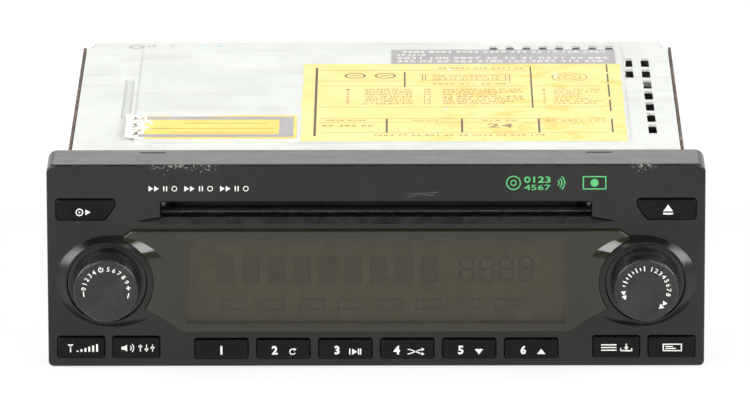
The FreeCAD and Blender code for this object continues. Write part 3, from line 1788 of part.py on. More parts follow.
def spur_gear(teeth, phase, centre_y, centre_z, x0, x1):
    """A spur gear on an axis along X."""
    face = Part.Face(gear_wire(teeth, phase, centre_y, centre_z, x0))
    return face.extrude(vector(x1 - x0, 0, 0))


def roller_gear():
    """The gear on the end of the roller shaft."""
    gear = spur_gear(roller_teeth, gear_direction, roller_y, roller_z, gear_start, gear_end)
    return cut(
        gear, rod_x(roller_shaft_radius + fit_gap, roller_y, roller_z, gear_start - through, gear_end + through)
    )


def motor_pinion():
    """The small gear of the loading motor, with the motor's shaft."""
    phase = gear_direction + math.pi + math.pi / pinion_teeth
    gear = spur_gear(pinion_teeth, phase, pinion_y, pinion_z, gear_start, gear_end)
    start = bracket_half - bracket_sheet - motor_shaft_depth
    return joined(gear, rod_x(motor_shaft_radius, pinion_y, pinion_z, start, gear_end))


def key_list():
    """Every key as its name, the outline of its hole and the place of its stem."""
    names = ["preset_key_" + str(i + 1) for i in range(preset_keys)]
    names += ["band_key", "sound_key", "store_key", "display_key", "source_key", "eject_key"]
    holes = [preset_key_corners(x) for x in preset_centres()]
    holes += [corner_key_corners(x) for x in corner_key_centres()]
    right_key = [(-x, z, radius) for x, z, radius in reversed(top_key_corners())]
    holes += [top_key_corners(), right_key]
    return list(zip(names, holes, key_places()))


def write(name, shape):
    """Moves a finished piece so that the origin is under the middle of the player, and writes its file."""
    placed = shape.translated(vector(0, centre_shift, 0))
    if not placed.isValid():
        print("not valid:", name)
    placed.exportStep("parts/" + name + ".step")
    print(name, len(placed.Solids), round(placed.Volume, 2))


def build():
    """Makes every piece and writes one file for each."""
    os.makedirs("parts", exist_ok=True)
    write("front_panel", front_panel())
    write("display_lens", display_lens())
    write("display_glass", display_glass())
    write("display_holder", display_holder())
    write("slot_felts", slot_felts())
    write("front_board", front_board())
    write("key_switches", key_switches())
    write("panel_back", panel_back())
    for name, hole, place in key_list():
        write(name, key_cap(hole, place[0], place[1]))
    for side, name in ((-1, "volume"), (1, "tuning")):
        write(name + "_encoder", encoder(side))
        write(name + "_shaft", encoder_shaft(side))
        write(name + "_plunger", encoder_plunger(side))
        write(name + "_knob", knob(side))
    write("chassis_tray", chassis_tray())
    write("rear_panel", rear_panel())
    write("top_cover", top_cover())
    write("cover_labels", cover_labels())
    write("cover_screws", cover_screws())
    write("inner_screws", inner_screws())
    write("main_board", main_board())
    write("amplifier_chip", amplifier_chip())
    write("tuner_can", tuner_can())
    write("capacitors", capacitors())
    write("heat_sink", heat_sink())
    write("wiring_socket", wiring_socket())
    write("fuse", fuse())
    write("aerial_socket", aerial_socket())
    write("rear_stud", rear_stud())
    write("deck_frame", deck_frame())
    write("damper_rubbers", damper_rubbers())
    write("traverse_base", traverse_base())
    write("spindle_motor", spindle_motor())
    write("turntable", turntable())
    write("guide_rods", guide_rods())
    write("optical_pickup", optical_pickup())
    write("lead_screw", lead_screw())
    write("sled_motor", sled_motor())
    write("clamp_arm", clamp_arm())
    write("clamper", clamper())
    write("roller_bracket", roller_bracket())
    write("loading_roller", loading_roller())
    write("roller_gear", roller_gear())
    write("loading_motor", loading_motor())
    write("motor_pinion", motor_pinion())


build()
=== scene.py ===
# %% [markdown]
# # A car CD player for a single dashboard slot
#
# This lesson dresses a finished CAD model of a car CD player. The real thing is a steel box with a
# dark moulded face: a disc slot, two round knobs, twelve keys and a wide tinted display. The CAD model
# has every solid in place, so Blender's work is the skin: even shading, printed marks, labels, dust,
# wear and light. Everything is in metres and in the CAD model's own frame. X runs to the right, Y from
# the face to the rear and Z up.

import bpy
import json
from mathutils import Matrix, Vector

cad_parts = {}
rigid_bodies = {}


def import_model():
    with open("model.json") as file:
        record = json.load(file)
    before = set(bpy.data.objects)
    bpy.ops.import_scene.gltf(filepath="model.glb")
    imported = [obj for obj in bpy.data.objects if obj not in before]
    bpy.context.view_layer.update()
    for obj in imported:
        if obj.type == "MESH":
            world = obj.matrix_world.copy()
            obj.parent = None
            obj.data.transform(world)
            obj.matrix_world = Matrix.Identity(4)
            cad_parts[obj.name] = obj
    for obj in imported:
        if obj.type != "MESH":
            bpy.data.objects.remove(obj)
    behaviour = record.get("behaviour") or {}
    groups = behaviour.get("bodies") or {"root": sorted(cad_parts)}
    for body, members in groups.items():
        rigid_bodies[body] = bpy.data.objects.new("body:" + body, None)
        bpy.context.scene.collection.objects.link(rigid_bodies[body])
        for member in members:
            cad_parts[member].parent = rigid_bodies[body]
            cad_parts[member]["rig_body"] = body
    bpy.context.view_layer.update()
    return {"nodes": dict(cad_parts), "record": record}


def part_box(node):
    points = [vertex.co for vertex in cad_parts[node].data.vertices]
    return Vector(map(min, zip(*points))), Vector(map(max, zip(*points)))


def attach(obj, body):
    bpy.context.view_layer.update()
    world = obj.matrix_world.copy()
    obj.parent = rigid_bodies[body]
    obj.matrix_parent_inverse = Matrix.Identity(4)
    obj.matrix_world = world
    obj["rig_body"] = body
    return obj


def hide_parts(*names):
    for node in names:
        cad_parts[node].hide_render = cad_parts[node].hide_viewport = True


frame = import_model()

# %% [markdown]
# The drawing of the face is in millimetres, with X 0 in its middle, Z 0 under its lower edge and Y 0 on
# its front plane, from which the knobs stand out. One small function turns such a point into the
# frame's metres, so that no other line has to think about the shift.

# %% Millimetres and the face plane
import json
import math
import random

import bmesh
import bpy
from mathutils import Matrix, Vector, noise
from mathutils.bvhtree import BVHTree

mm = 0.001
knob_reach = 10.7
face_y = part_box("volume_knob")[0].y + knob_reach * mm
slot_names = {row["node"]: row["material_slot"] for row in frame["record"]["subparts"]}


def at(x, y, z):
    """A point given in millimetres from the middle of the face's lower edge, in the frame's metres."""
    return Vector((x * mm, y * mm + face_y, z * mm))


def in_scene(name, data):
    """A new object that stands in the scene and shows a mesh, a light or a camera."""
    made = bpy.data.objects.new(name, data)
    bpy.context.scene.collection.objects.link(made)
    return made


print("the face lies at y =", round(face_y / mm, 1), "mm")

# %% [markdown]
# ## Camera
#
# The picture is taken from far away with a long lens, a little above the face and almost straight in
# front of it. The angles and the distance come from fitting a camera to the corners of the real face,
# whose size is known. The camera's three axes are built as vectors and put in its matrix as columns.

# %% Camera
picture_width = 750
focal_pixels = 8196.0
camera_distance = 2338.2
camera_aim = at(-0.29, 0, 46.74)
yaw, pitch, roll = (math.radians(angle) for angle in (-0.184, 15.125, -0.123))

forward = Vector((math.sin(yaw) * math.cos(pitch), math.cos(yaw) * math.cos(pitch), -math.sin(pitch)))
level = Vector((math.cos(yaw), -math.sin(yaw), 0))
above = level.cross(forward)
right = math.cos(roll) * level + math.sin(roll) * above
up = math.cos(roll) * above - math.sin(roll) * level

camera_data = bpy.data.cameras.new("camera")
camera_data.lens = focal_pixels / picture_width * camera_data.sensor_width
camera_data.clip_end = 50
camera = in_scene("camera", camera_data)
place = camera_aim - forward * camera_distance * mm
camera.matrix_world = Matrix.Translation(place) @ Matrix((right, up, -forward)).transposed().to_4x4()
bpy.context.scene.camera = camera
print("lens", round(camera_data.lens, 1), "mm, camera at", [round(c, 3) for c in place])

# %% [markdown]
# ## Finishes
#
# A moulded or rolled surface is never one flat colour: it has slow clouds, a fine grain and spots that
# are rougher than others. The class below adds such nodes to one material. All patterns read Object
# coordinates scaled to millimetres, so a size of 0.3 is a grain of 0.3 mm, and a relief of 0.01 is a
# bump 0.01 mm deep. Values that don't vary are set on the shader's own sockets.


# %% A material and its patterns
class Finish:
    """One material. Its patterns are measured in millimetres."""

    def __init__(self, name, **fixed):
        self.material = bpy.data.materials.new(name)
        self.material.use_nodes = True
        self.tree = self.material.node_tree
        self.shader = self.tree.nodes["Principled BSDF"]
        self.normal = None
        for socket, value in fixed.items():
            self.shader.inputs[socket.replace("_", " ")].default_value = value
        self.object_place = self.node("TexCoord").outputs["Object"]

    def node(self, kind, inputs=(), **settings):
        """A new node, with its settings made and its inputs set or linked."""
        made = self.tree.nodes.new("ShaderNode" + kind)
        for name, value in settings.items():
            setattr(made, name, value)
        for key, value in dict(inputs).items():
            if isinstance(value, bpy.types.NodeSocket):
                self.tree.links.new(value, made.inputs[key])
            else:
                made.inputs[key].default_value = value
        return made

    def place(self, stretch=(1, 1, 1), turn=(0, 0, 0)):
        """Object coordinates in millimetres, divided by stretch."""
        scale = [1 / (mm * part) for part in stretch]
        inputs = {"Vector": self.object_place, "Scale": scale, "Rotation": turn}
        return self.node("Mapping", inputs).outputs["Vector"]

    def noise(self, size, detail=3.0, stretch=(1, 1, 1), turn=(0, 0, 0)):
        """Clouds of about that size, from 0 to 1."""
        inputs = {"Vector": self.place(stretch, turn), "Scale": 1 / size, "Detail": detail}
        return self.node("TexNoise", inputs).outputs["Fac"]

    def cells(self, size, feature="F1", stretch=(1, 1, 1)):
        """A pattern of crystals or flakes of about that size."""
        inputs = {"Vector": self.place(stretch), "Scale": 1 / size}
        return self.node("TexVoronoi", inputs, feature=feature).outputs["Distance"]

    def axis(self, name):
        """One Object coordinate in millimetres."""
        return self.node("SeparateXYZ", {"Vector": self.place()}).outputs[name]

    def math(self, operation, first, second=0.0):
        """One sum on two values."""
        return self.node("Math", {0: first, 1: second}, operation=operation).outputs[0]

    def window(self, value, low, high, to_low=0.0, to_high=1.0):
        """The value spread from its range low to high onto another one, with soft ends."""
        inputs = {"Value": value, "From Min": low, "From Max": high, "To Min": to_low, "To Max": to_high}
        return self.node("MapRange", inputs, interpolation_type="SMOOTHSTEP").outputs["Result"]

    def between(self, value, low, high, edge):
        """1 between two values and 0 outside, with soft edges."""
        return self.both(self.window(value, low, low + edge), self.window(value, high - edge, high, 1.0, 0.0))

    def mix(self, factor, first, second):
        """A colour between two others."""
        inputs = {0: factor, 6: colour4(first), 7: colour4(second)}
        return self.node("Mix", inputs, data_type="RGBA").outputs[2]

    def both(self, first, second):
        """1 where both values are 1."""
        return self.math("MULTIPLY", first, second)

    def set(self, socket, value):
        """Links a pattern to one socket of the shader."""
        self.tree.links.new(value, self.shader.inputs[socket])

    def coat(self, share, colour):
        """Lays another colour over the tones, as far as share says."""
        self.tones = self.mix(share, self.tones, colour)
        self.set("Base Color", self.tones)

    def relief(self, height, depth):
        """Adds bumps of that depth in millimetres."""
        inputs = {"Height": height, "Distance": depth * mm}
        if self.normal is not None:
            inputs["Normal"] = self.normal
        self.normal = self.node("Bump", inputs).outputs["Normal"]
        self.set("Normal", self.normal)


def colour4(value):
    """A colour with its fourth part, or the socket as it is."""
    return value if isinstance(value, bpy.types.NodeSocket) else (*value, 1.0)


# %% [markdown]
# Most pieces share one recipe with other numbers: two close tones in clouds, a roughness that wanders
# between two values, and a grain. Metals get a strong metallic value, plastics none. Only the pieces
# with something special of their own, such as dust or print, add to it.


# %% The shared recipe
def surface(name, dark, light, rough, cloud=9.0, grain=0.35, depth=0.006, stretch=(1, 1, 1), **fixed):
    """A material with two tones, an uneven gloss and a fine grain."""
    finish = Finish(name, **fixed)
    clouds = finish.noise(cloud, 5.0, stretch)
    finish.tones = finish.mix(finish.window(clouds, 0.3, 0.7), dark, light)
    finish.set("Base Color", finish.tones)
    spots = finish.noise(cloud / 4, 4.0, stretch)
    finish.set("Roughness", finish.window(spots, 0.25, 0.75, rough[0], rough[1]))
    finish.relief(finish.noise(grain, 2.0, stretch), depth)
    return finish


def add_specks(finish, size, share, colour, strength=0.7):
    """Scatters dust or grime over a finish. share is about how much of it is covered."""
    specks = finish.window(finish.noise(size, 1.5), 0.80 - share, 0.86 - share)
    patches = finish.window(finish.noise(size * 18, 3.0), 0.42, 0.66, 0.0, strength)
    finish.coat(finish.both(specks, patches), colour)


# %% [markdown]
# ### Dark mouldings
#
# The face is black plastic with an etched grain. Its upper edge has rubbed to a pale grey in two
# places, where the player was pulled from the dashboard, and dust sits in the grain. The top face has a
# coat of dust in long streaks, painted paler than dust alone as a painted sheen of its reflection. The
# keys are smoother and darker, and the knobs a little greyer from use.

# %% Dark plastics
face_finish = surface("face_moulding", (0.0040, 0.0047, 0.0034), (0.0085, 0.0092, 0.0070), (0.22, 0.33),
                      cloud=22.0, grain=0.30, depth=0.007, IOR=1.45)
add_specks(face_finish, 0.25, 0.07, (0.17, 0.17, 0.16), 0.5)
x_mm, y_mm, z_mm = (face_finish.axis(name) for name in "XYZ")
rubbed = face_finish.math("ADD", face_finish.between(x_mm, -66, -44, 5.0), face_finish.between(x_mm, 72, 81, 3.0))
in_front = face_finish.window(y_mm, -82.2, -81.0, 1.0, 0.0)
near_top = face_finish.window(z_mm, 56.0, 59.6, -0.16, 0.02)
flakes = face_finish.math("ADD", face_finish.noise(0.5, 6.0, (1.6, 1, 1)), near_top)
flakes = face_finish.window(flakes, 0.55, 0.61, 0.0, 0.8)
face_finish.coat(face_finish.both(rubbed, face_finish.both(in_front, flakes)), (0.26, 0.26, 0.245))
# Dust and painted sheen: long pale streaks on the top face, lighter than dust alone, painted for its reflection.
dust_and_sheen = face_finish.mix(face_finish.noise(3.0, 6.0, (9, 1, 1)), (0.070, 0.070, 0.066), (0.190, 0.190, 0.180))
face_finish.coat(face_finish.window(z_mm, 59.80, 59.97, 0.0, 0.9), dust_and_sheen)

key_finish = surface("key_moulding", (0.0028, 0.0029, 0.0025), (0.0050, 0.0051, 0.0044), (0.20, 0.30),
                     cloud=5.0, grain=0.22, depth=0.003, IOR=1.40, Specular_IOR_Level=0.22)
add_specks(key_finish, 0.22, 0.06, (0.12, 0.12, 0.11), 0.4)
knob_finish = surface("knob_moulding", (0.0060, 0.0066, 0.0056), (0.0160, 0.0170, 0.0145), (0.22, 0.32),
                      cloud=6.0, grain=0.25, depth=0.005)
add_specks(knob_finish, 0.25, 0.07, (0.14, 0.13, 0.11), 0.45)
black_finish = surface("black_moulding", (0.010, 0.010, 0.010), (0.018, 0.018, 0.017), (0.42, 0.58), depth=0.010)
felt_finish = surface("slot_felt", (0.030, 0.029, 0.027), (0.075, 0.072, 0.064), (0.92, 1.0), cloud=2.5,
                      grain=0.12, depth=0.05, Sheen_Weight=0.35)
print("dark finishes:", len(bpy.data.materials))

# %% [markdown]
# ### Display
#
# The lens is one sheet of smoked acrylic. A glass shader would need many light paths to show what lies
# behind it, so the sheet is made partly see-through instead, with a clear gloss on top. Round the
# window its back is masked with dark paint, so it lets nothing through there. Behind the window sits
# the brown liquid crystal glass, whose segments are almost invisible while the player is off.

# %% Display finishes
lens_finish = surface("smoked_lens", (0.0180, 0.0168, 0.0100), (0.0225, 0.0210, 0.0130), (0.04, 0.10), cloud=30.0,
                      grain=6.0, depth=0.004, IOR=1.49)
see_through = lens_finish.both(lens_finish.between(lens_finish.axis("X"), -54.9, 54.9, 0.9),
                               lens_finish.between(lens_finish.axis("Z"), 12.5, 38.6, 0.9))
lens_finish.coat(see_through, (0.047, 0.044, 0.029))
lens_finish.set("Alpha", lens_finish.window(see_through, 0.0, 1.0, 1.0, 0.45))
add_specks(lens_finish, 0.24, 0.05, (0.40, 0.40, 0.38), 0.5)
crystal_finish = surface("crystal_glass", (0.165, 0.118, 0.042), (0.195, 0.140, 0.055), (0.22, 0.32), cloud=18.0,
                         grain=0.9, depth=0.002)
segment_finish = surface("crystal_segments", (0.040, 0.022, 0.012), (0.055, 0.030, 0.016), (0.25, 0.35),
                         cloud=7.0, grain=0.5, depth=0.001)
white_finish = surface("white_moulding", (0.62, 0.62, 0.59), (0.72, 0.72, 0.68), (0.40, 0.55), depth=0.008)

# %% [markdown]
# ### Sheet metal
#
# The cover and the box are zinc-coated steel. Zinc freezes on the sheet in flat crystals, the
# spangle, which reflect a little differently from each other. The cut edges have no zinc: they are
# dark, and brown where rust has started. Where a surface lies at the top of the side walls, the
# finish turns to that brown.


# %% Zinc-coated steel
def zinc(name, dark, light, edge_height, rough=(0.30, 0.46), metallic=0.55, gloss=0.5):
    """Zinc-coated sheet with spangle. Above edge_height the raw cut edge shows, in millimetres."""
    finish = surface(name, dark, light, rough, cloud=26.0, grain=0.5, depth=0.003, Metallic=metallic,
                     Specular_IOR_Level=gloss)
    finish.coat(finish.window(finish.cells(5.5), 0.1, 0.9, 0.0, 0.10), (0.46, 0.47, 0.46))
    raw = finish.window(finish.axis("Z"), edge_height, edge_height + 0.12)
    raw = finish.both(raw, finish.window(finish.noise(3.5, 5.0), 0.25, 0.45, 0.55, 1.0))
    rust = finish.mix(finish.window(finish.noise(1.8, 5.0), 0.42, 0.62), (0.045, 0.036, 0.028), (0.19, 0.085, 0.035))
    finish.coat(raw, rust)
    finish.relief(finish.noise(38.0, 2.0), 0.10)
    return finish


def smear(finish, stretch, turn, colour, strength):
    """Wipes a thin film of oil and grime over a finish, in long bands."""
    finish.coat(finish.window(finish.noise(9.0, 3.0, stretch, (0, 0, turn)), 0.52, 0.72, 0.0, strength), colour)


no_raw_edge = 90.0
cover_finish = zinc("cover_zinc", (0.66, 0.68, 0.645), (0.73, 0.75, 0.715), no_raw_edge, (0.60, 0.72), 0.20, 0.3)
smear(cover_finish, (4, 1, 1), 0.25, (0.56, 0.58, 0.52), 0.5)
# Painted shade: the strip along the pressed bead is coated a darker grey, so that the bead shows as shaded.
painted_bead_shade = cover_finish.both(cover_finish.between(cover_finish.axis("X"), -75.2, -72.1, 0.25),
                            cover_finish.between(cover_finish.axis("Y"), -12.0, 35.2, 0.6))
cover_finish.coat(cover_finish.both(painted_bead_shade, 0.5), (0.52, 0.55, 0.49))
chassis_finish = zinc("chassis_zinc", (0.47, 0.48, 0.465), (0.60, 0.61, 0.59), 54.5)
deck_finish = zinc("deck_zinc", (0.50, 0.51, 0.50), (0.62, 0.63, 0.61), no_raw_edge)
print("sheet metal finishes ready")

# %% [markdown]
# ### Other metals, plastics and papers
#
# The inner pieces each have a finish of their own too: brushed and drawn metals have a grain that runs
# one way, which the stretch gives, and the circuit board has a green solder mask over copper tracks.

# %% Metals
steel_finish = surface("screw_steel", (0.36, 0.34, 0.29), (0.50, 0.47, 0.40), (0.25, 0.42), cloud=2.5,
                       depth=0.006, Metallic=0.95)
tin_finish = surface("tin_plate", (0.52, 0.52, 0.50), (0.66, 0.66, 0.63), (0.20, 0.36), cloud=7.0, depth=0.004,
                     Metallic=0.9)
aluminium_finish = surface("drawn_aluminium", (0.50, 0.51, 0.52), (0.63, 0.64, 0.65), (0.30, 0.46), cloud=4.0,
                           grain=0.2, depth=0.010, stretch=(1, 1, 14), Metallic=0.9)
encoder_finish = surface("encoder_metal", (0.42, 0.42, 0.43), (0.55, 0.55, 0.56), (0.25, 0.40), Metallic=0.9)
polished_finish = surface("polished_steel", (0.62, 0.62, 0.62), (0.72, 0.72, 0.72), (0.08, 0.16), grain=0.15,
                          depth=0.001, stretch=(10, 1, 1), Metallic=1.0)
motor_finish = surface("motor_can", (0.50, 0.50, 0.48), (0.64, 0.64, 0.62), (0.22, 0.38), cloud=5.0,
                       Metallic=0.85)

# %% Plastics, rubber and paper
grey_finish = surface("grey_moulding", (0.055, 0.055, 0.060), (0.085, 0.085, 0.092), (0.40, 0.55))
gear_finish = surface("gear_moulding", (0.62, 0.60, 0.52), (0.74, 0.72, 0.64), (0.35, 0.50), cloud=3.0)
rubber_finish = surface("rubber", (0.016, 0.016, 0.016), (0.030, 0.030, 0.029), (0.70, 0.85), depth=0.020)
switch_finish = surface("switch_moulding", (0.52, 0.50, 0.45), (0.64, 0.62, 0.57), (0.40, 0.55), cloud=4.0)
plunger_finish = surface("plunger_moulding", (0.64, 0.64, 0.62), (0.74, 0.74, 0.71), (0.35, 0.50), cloud=3.0)
chip_finish = surface("chip_moulding", (0.020, 0.020, 0.020), (0.034, 0.034, 0.033), (0.55, 0.70), cloud=3.0,
                      depth=0.012)
sleeve_finish = surface("capacitor_sleeve", (0.020, 0.024, 0.045), (0.032, 0.038, 0.066), (0.20, 0.32), cloud=6.0)
fuse_finish = surface("fuse_moulding", (0.50, 0.035, 0.020), (0.62, 0.055, 0.030), (0.14, 0.26), cloud=3.0)
print("finishes made:", len(bpy.data.materials))

# %% [markdown]
# A bare circuit board shows its copper as slightly raised, paler green lines under the solder mask.
# Two stretched cell patterns, one along each axis, read as tracks from any distance at which they
# matter, and cost no geometry.

# %% Circuit board
board_finish = surface("circuit_board", (0.010, 0.075, 0.030), (0.016, 0.105, 0.042), (0.22, 0.34), cloud=15.0,
                       grain=1.0, depth=0.004)
for stretch in ((7, 1, 1), (1, 7, 3)):
    gaps = board_finish.cells(1.6, "DISTANCE_TO_EDGE", stretch)
    tracks = board_finish.window(gaps, 0.04, 0.09, 1.0, 0.0)
    board_finish.coat(tracks, (0.035, 0.20, 0.075))
    board_finish.relief(tracks, 0.03)
print("circuit board: finishes so far", len(bpy.data.materials))

# %% [markdown]
# Labels are coated paper or foil. Sun and heat stain them in blotches and wear the print away in
# spots, and the small one has lost its colour at its left end, where the white backing shows.


# %% Label papers
def paper(name, dark, light):
    """Plain label stock."""
    return surface(name, dark, light, (0.48, 0.60), cloud=14.0, grain=0.5, depth=0.003, Specular_IOR_Level=0.35)


yellow_paper = paper("yellow_label", (0.85, 0.66, 0.25), (0.89, 0.73, 0.32))
right_part = yellow_paper.window(yellow_paper.axis("X"), -8.0, 30.0)
blotches = yellow_paper.window(yellow_paper.noise(7.5, 2.5), 0.50, 0.66, 0.0, 0.75)
worn_spots = yellow_paper.window(yellow_paper.noise(4.2, 3.0, (1, 1.6, 1)), 0.66, 0.74, 0.0, 0.8)
yellow_paper.coat(yellow_paper.both(blotches, right_part), (0.89, 0.57, 0.15))
yellow_paper.coat(yellow_paper.both(worn_spots, right_part), (0.89, 0.86, 0.74))

orange_paper = paper("orange_label", (0.92, 0.60, 0.14), (0.95, 0.67, 0.19))
ragged = orange_paper.window(orange_paper.noise(2.2, 5.0), 0.3, 0.7, -2.5, 2.5)
bare = orange_paper.window(orange_paper.math("ADD", orange_paper.axis("X"), ragged), -67.6, -67.2, 1.0, 0.0)
orange_paper.coat(bare, (0.80, 0.79, 0.74))
grey_paper = paper("grey_label", (0.36, 0.345, 0.345), (0.42, 0.405, 0.405))
print("papers ready")


# %% Inks
def ink(name, colour):
    """A screen printed or written colour."""
    weak = tuple(0.9 * part for part in colour)
    return surface(name, weak, colour, (0.45, 0.60), cloud=1.5, grain=0.2, depth=0.002)


white_ink = ink("white_ink", (0.86, 0.86, 0.83))
green_ink = ink("green_ink", (0.080, 0.46, 0.155))
form_ink = ink("form_ink", (0.120, 0.105, 0.075))
faint_ink = ink("faint_ink", (0.32, 0.23, 0.10))
pen_ink = ink("pen_ink", (0.50, 0.46, 0.45))
green_pen_ink = ink("green_pen_ink", (0.46, 0.68, 0.60))
scuff_ink = ink("scuff", (0.10, 0.10, 0.095))
contact_finish = surface("contact_tin", (0.60, 0.58, 0.52), (0.72, 0.70, 0.64), (0.20, 0.32), cloud=2.0,
                         Metallic=0.95)
print("all finishes:", len(bpy.data.materials))

# %% [markdown]
# ## Pieces of the model
#
# Each inner solid keeps its CAD mesh and takes a finish. The record says which material slot a node
# belongs to, so one table from slot to finish dresses them all.

# %% Every CAD node gets its finish
slot_finish = {
    "face_plastic": face_finish, "lens_plastic": lens_finish, "display_glass": crystal_finish,
    "white_plastic": white_finish, "felt": felt_finish, "circuit_board": board_finish,
    "switch_plastic": switch_finish, "black_plastic": black_finish, "key_plastic": key_finish,
    "knob_plastic": knob_finish, "encoder_metal": encoder_finish, "plunger_plastic": plunger_finish,
    "chassis_steel": chassis_finish, "label_paper": yellow_paper, "screw_steel": steel_finish,
    "chip_plastic": chip_finish, "tin_plate": tin_finish, "capacitor_sleeve": sleeve_finish,
    "aluminium": aluminium_finish, "fuse_plastic": fuse_finish, "deck_steel": deck_finish,
    "rubber": rubber_finish, "grey_plastic": grey_finish, "motor_can": motor_finish,
    "polished_steel": polished_finish, "gear_plastic": gear_finish,
}
for node, piece in frame["nodes"].items():
    piece.data.materials.clear()
    piece.data.materials.append(slot_finish[slot_names[node]].material)
print("nodes dressed:", len(frame["nodes"]))

# %% [markdown]
# The outer pieces are seen close up, and a CAD mesh is a bag of loose triangles, each shaded flat. A
# copy whose corners are merged can be shaded smooth, with sharp edges kept where two faces meet at
# more than 30 degrees, and all round the flat front or top, so that the shallow slopes beside it don't
# bend its reflections. A Weighted Normal modifier then lets the large faces decide the shading. The copy
# stands for the node.


# %% From a bmesh to a finished piece
crease = math.radians(30)
same_way = 0.9999
front, top = Vector((0, -1, 0)), Vector((0, 0, 1))


def finished(work, name, body, slot, *finishes, flat=front):
    """Turns a bmesh into a piece that rides on a body and has its finishes."""
    work.normal_update()
    for face in work.faces:
        face.smooth = True
    for edge in work.edges:
        if len(edge.link_faces) == 2:
            sides = {face.normal.dot(flat) > same_way for face in edge.link_faces}
            edge.smooth = len(sides) == 1 and edge.calc_face_angle() < crease
    mesh = bpy.data.meshes.new(name)
    work.to_mesh(mesh)
    work.free()
    for finish in finishes:
        mesh.materials.append(finish.material)
    piece = in_scene(name, mesh)
    even = piece.modifiers.new("Even shading", "WEIGHTED_NORMAL")
    even.keep_sharp = True
    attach(piece, body)
    return piece


def merged_copy(node):
    """A bmesh of a CAD node's mesh, with its corners merged."""
    work = bmesh.new()
    work.from_mesh(frame["nodes"][node].data)
    bmesh.ops.remove_doubles(work, verts=work.verts, dist=0.001 * mm)
    return work


def shell(node, *finishes, choose=None, flat=front):
    """A smooth copy of a CAD node that stands for it. choose gives the number of a face's finish."""
    work = merged_copy(node)
    if choose:
        for face in work.faces:
            face.material_index = choose(face)
    own = frame["nodes"][node]["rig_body"]
    if not finishes:
        finishes = (slot_finish[slot_names[node]],)
    piece = finished(work, node + "_skin", own, slot_names[node], *finishes, flat=flat)
    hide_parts(node)
    return piece


def corners_of(verts):
    """The low and the high corner of the box round some corners of a mesh."""
    return [Vector([pick(vert.co[i] for vert in verts) for i in range(3)]) for pick in (min, max)]


def pull_faces(work, faces, move, **keep):
    """Draws faces out of a bmesh along a way, with new sides round them."""
    drawn = bmesh.ops.extrude_face_region(work, geom=faces, **keep)["geom"]
    verts = [item for item in drawn if isinstance(item, bmesh.types.BMVert)]
    bmesh.ops.translate(work, verts=verts, vec=move)


def surface_of(node):
    """The surface of a CAD node, as something that rays can hit."""
    work = merged_copy(node)
    tree = BVHTree.FromBMesh(work)
    work.free()
    return tree


key_nodes = [name for name in frame["nodes"] if name.endswith("_key") or name.startswith("preset_key")]
for node in ["front_panel", "display_lens", "volume_knob", "tuning_knob", "chassis_tray", "rear_panel",
             "heat_sink", "fuse", "panel_back"] + key_nodes:
    shell(node)
shell("top_cover", cover_finish, flat=top)
print("smooth copies:", 10 + len(key_nodes))

# %% [markdown]
# ## Screws and the rear stud
#
# Screws are turned parts with a pressed recess, so a screw here is a half outline spun round its axis.
# Planes then cut the cross into its head, and the faces inside the cross are pushed down. Each loose
# body of the CAD screws gives the place and the length of one screw.


# %% Places of the CAD screws
def loose_boxes(node):
    """The low and the high corner of each loose body of a node."""
    work = merged_copy(node)
    left = set(work.verts)
    boxes = []
    while left:
        group = {left.pop()}
        edge = group
        while edge:
            edge = {other for vert in edge for link in vert.link_edges for other in link.verts} - group
            group = group | edge
        left -= group
        boxes.append(corners_of(group))
    work.free()
    return sorted(boxes, key=lambda box: tuple(box[0]))


screw_boxes = loose_boxes("cover_screws")
print("screws:", len(screw_boxes))


# %% Spinning and aiming
def spin_outline(work, outline, steps=32):
    """Spins a half outline of (radius, height) points in millimetres all the way round Z."""
    verts = [work.verts.new((radius * mm, 0, height * mm)) for radius, height in outline]
    edges = [work.edges.new(pair) for pair in zip(verts, verts[1:])]
    bmesh.ops.spin(work, geom=verts + edges, axis=(0, 0, 1), cent=(0, 0, 0), angle=math.tau, steps=steps,
                   use_merge=True)
    bmesh.ops.remove_doubles(work, verts=work.verts, dist=0.0005 * mm)


def aimed(direction, place):
    """The matrix that turns Z into a direction and moves the origin to a place."""
    return Matrix.Translation(place) @ Vector(direction).to_track_quat("Z", "Y").to_matrix().to_4x4()


def join_work(target, source, matrix):
    """Adds one bmesh to another at a place."""
    bmesh.ops.transform(source, matrix=matrix, verts=source.verts)
    spare = bpy.data.meshes.new("spare")
    source.to_mesh(spare)
    source.free()
    target.from_mesh(spare)
    bpy.data.meshes.remove(spare)


# %% A cross-head screw
head_height = 1.2
cross_reach, cross_half, cross_depth = 1.35, 0.32, 0.7


def cross_screw(length):
    """A screw on Z whose head bears on the plane Z 0."""
    work = bmesh.new()
    outline = [(0, -length), (0.9, -length)]
    for turn in range(int((length - 1.0) / 0.5)):
        start = 0.3 + 0.5 * turn - length
        outline += [(1.05, start), (1.25, start + 0.25)]
    outline += [(1.05, 0), (2.5, 0), (2.6, 0.15), (2.5, 0.5), (2.1, 0.88), (1.4, 1.12), (0.7, 1.19), (0, head_height)]
    spin_outline(work, outline, 28)
    for axis in (Vector((1, 0, 0)), Vector((0, 1, 0))):
        for shift in (-cross_reach, -cross_half, cross_half, cross_reach):
            parts = work.verts[:] + work.edges[:] + work.faces[:]
            bmesh.ops.bisect_plane(work, geom=parts, plane_co=axis * shift * mm, plane_no=axis)
    cross = []
    for face in work.faces:
        middle = face.calc_center_median() / mm
        narrow, wide = sorted((abs(middle.x), abs(middle.y)))
        if middle.z > 0.9 and narrow < cross_half and wide < cross_reach:
            cross.append(face)
    pull_faces(work, cross, (0, 0, -cross_depth * mm))
    return work


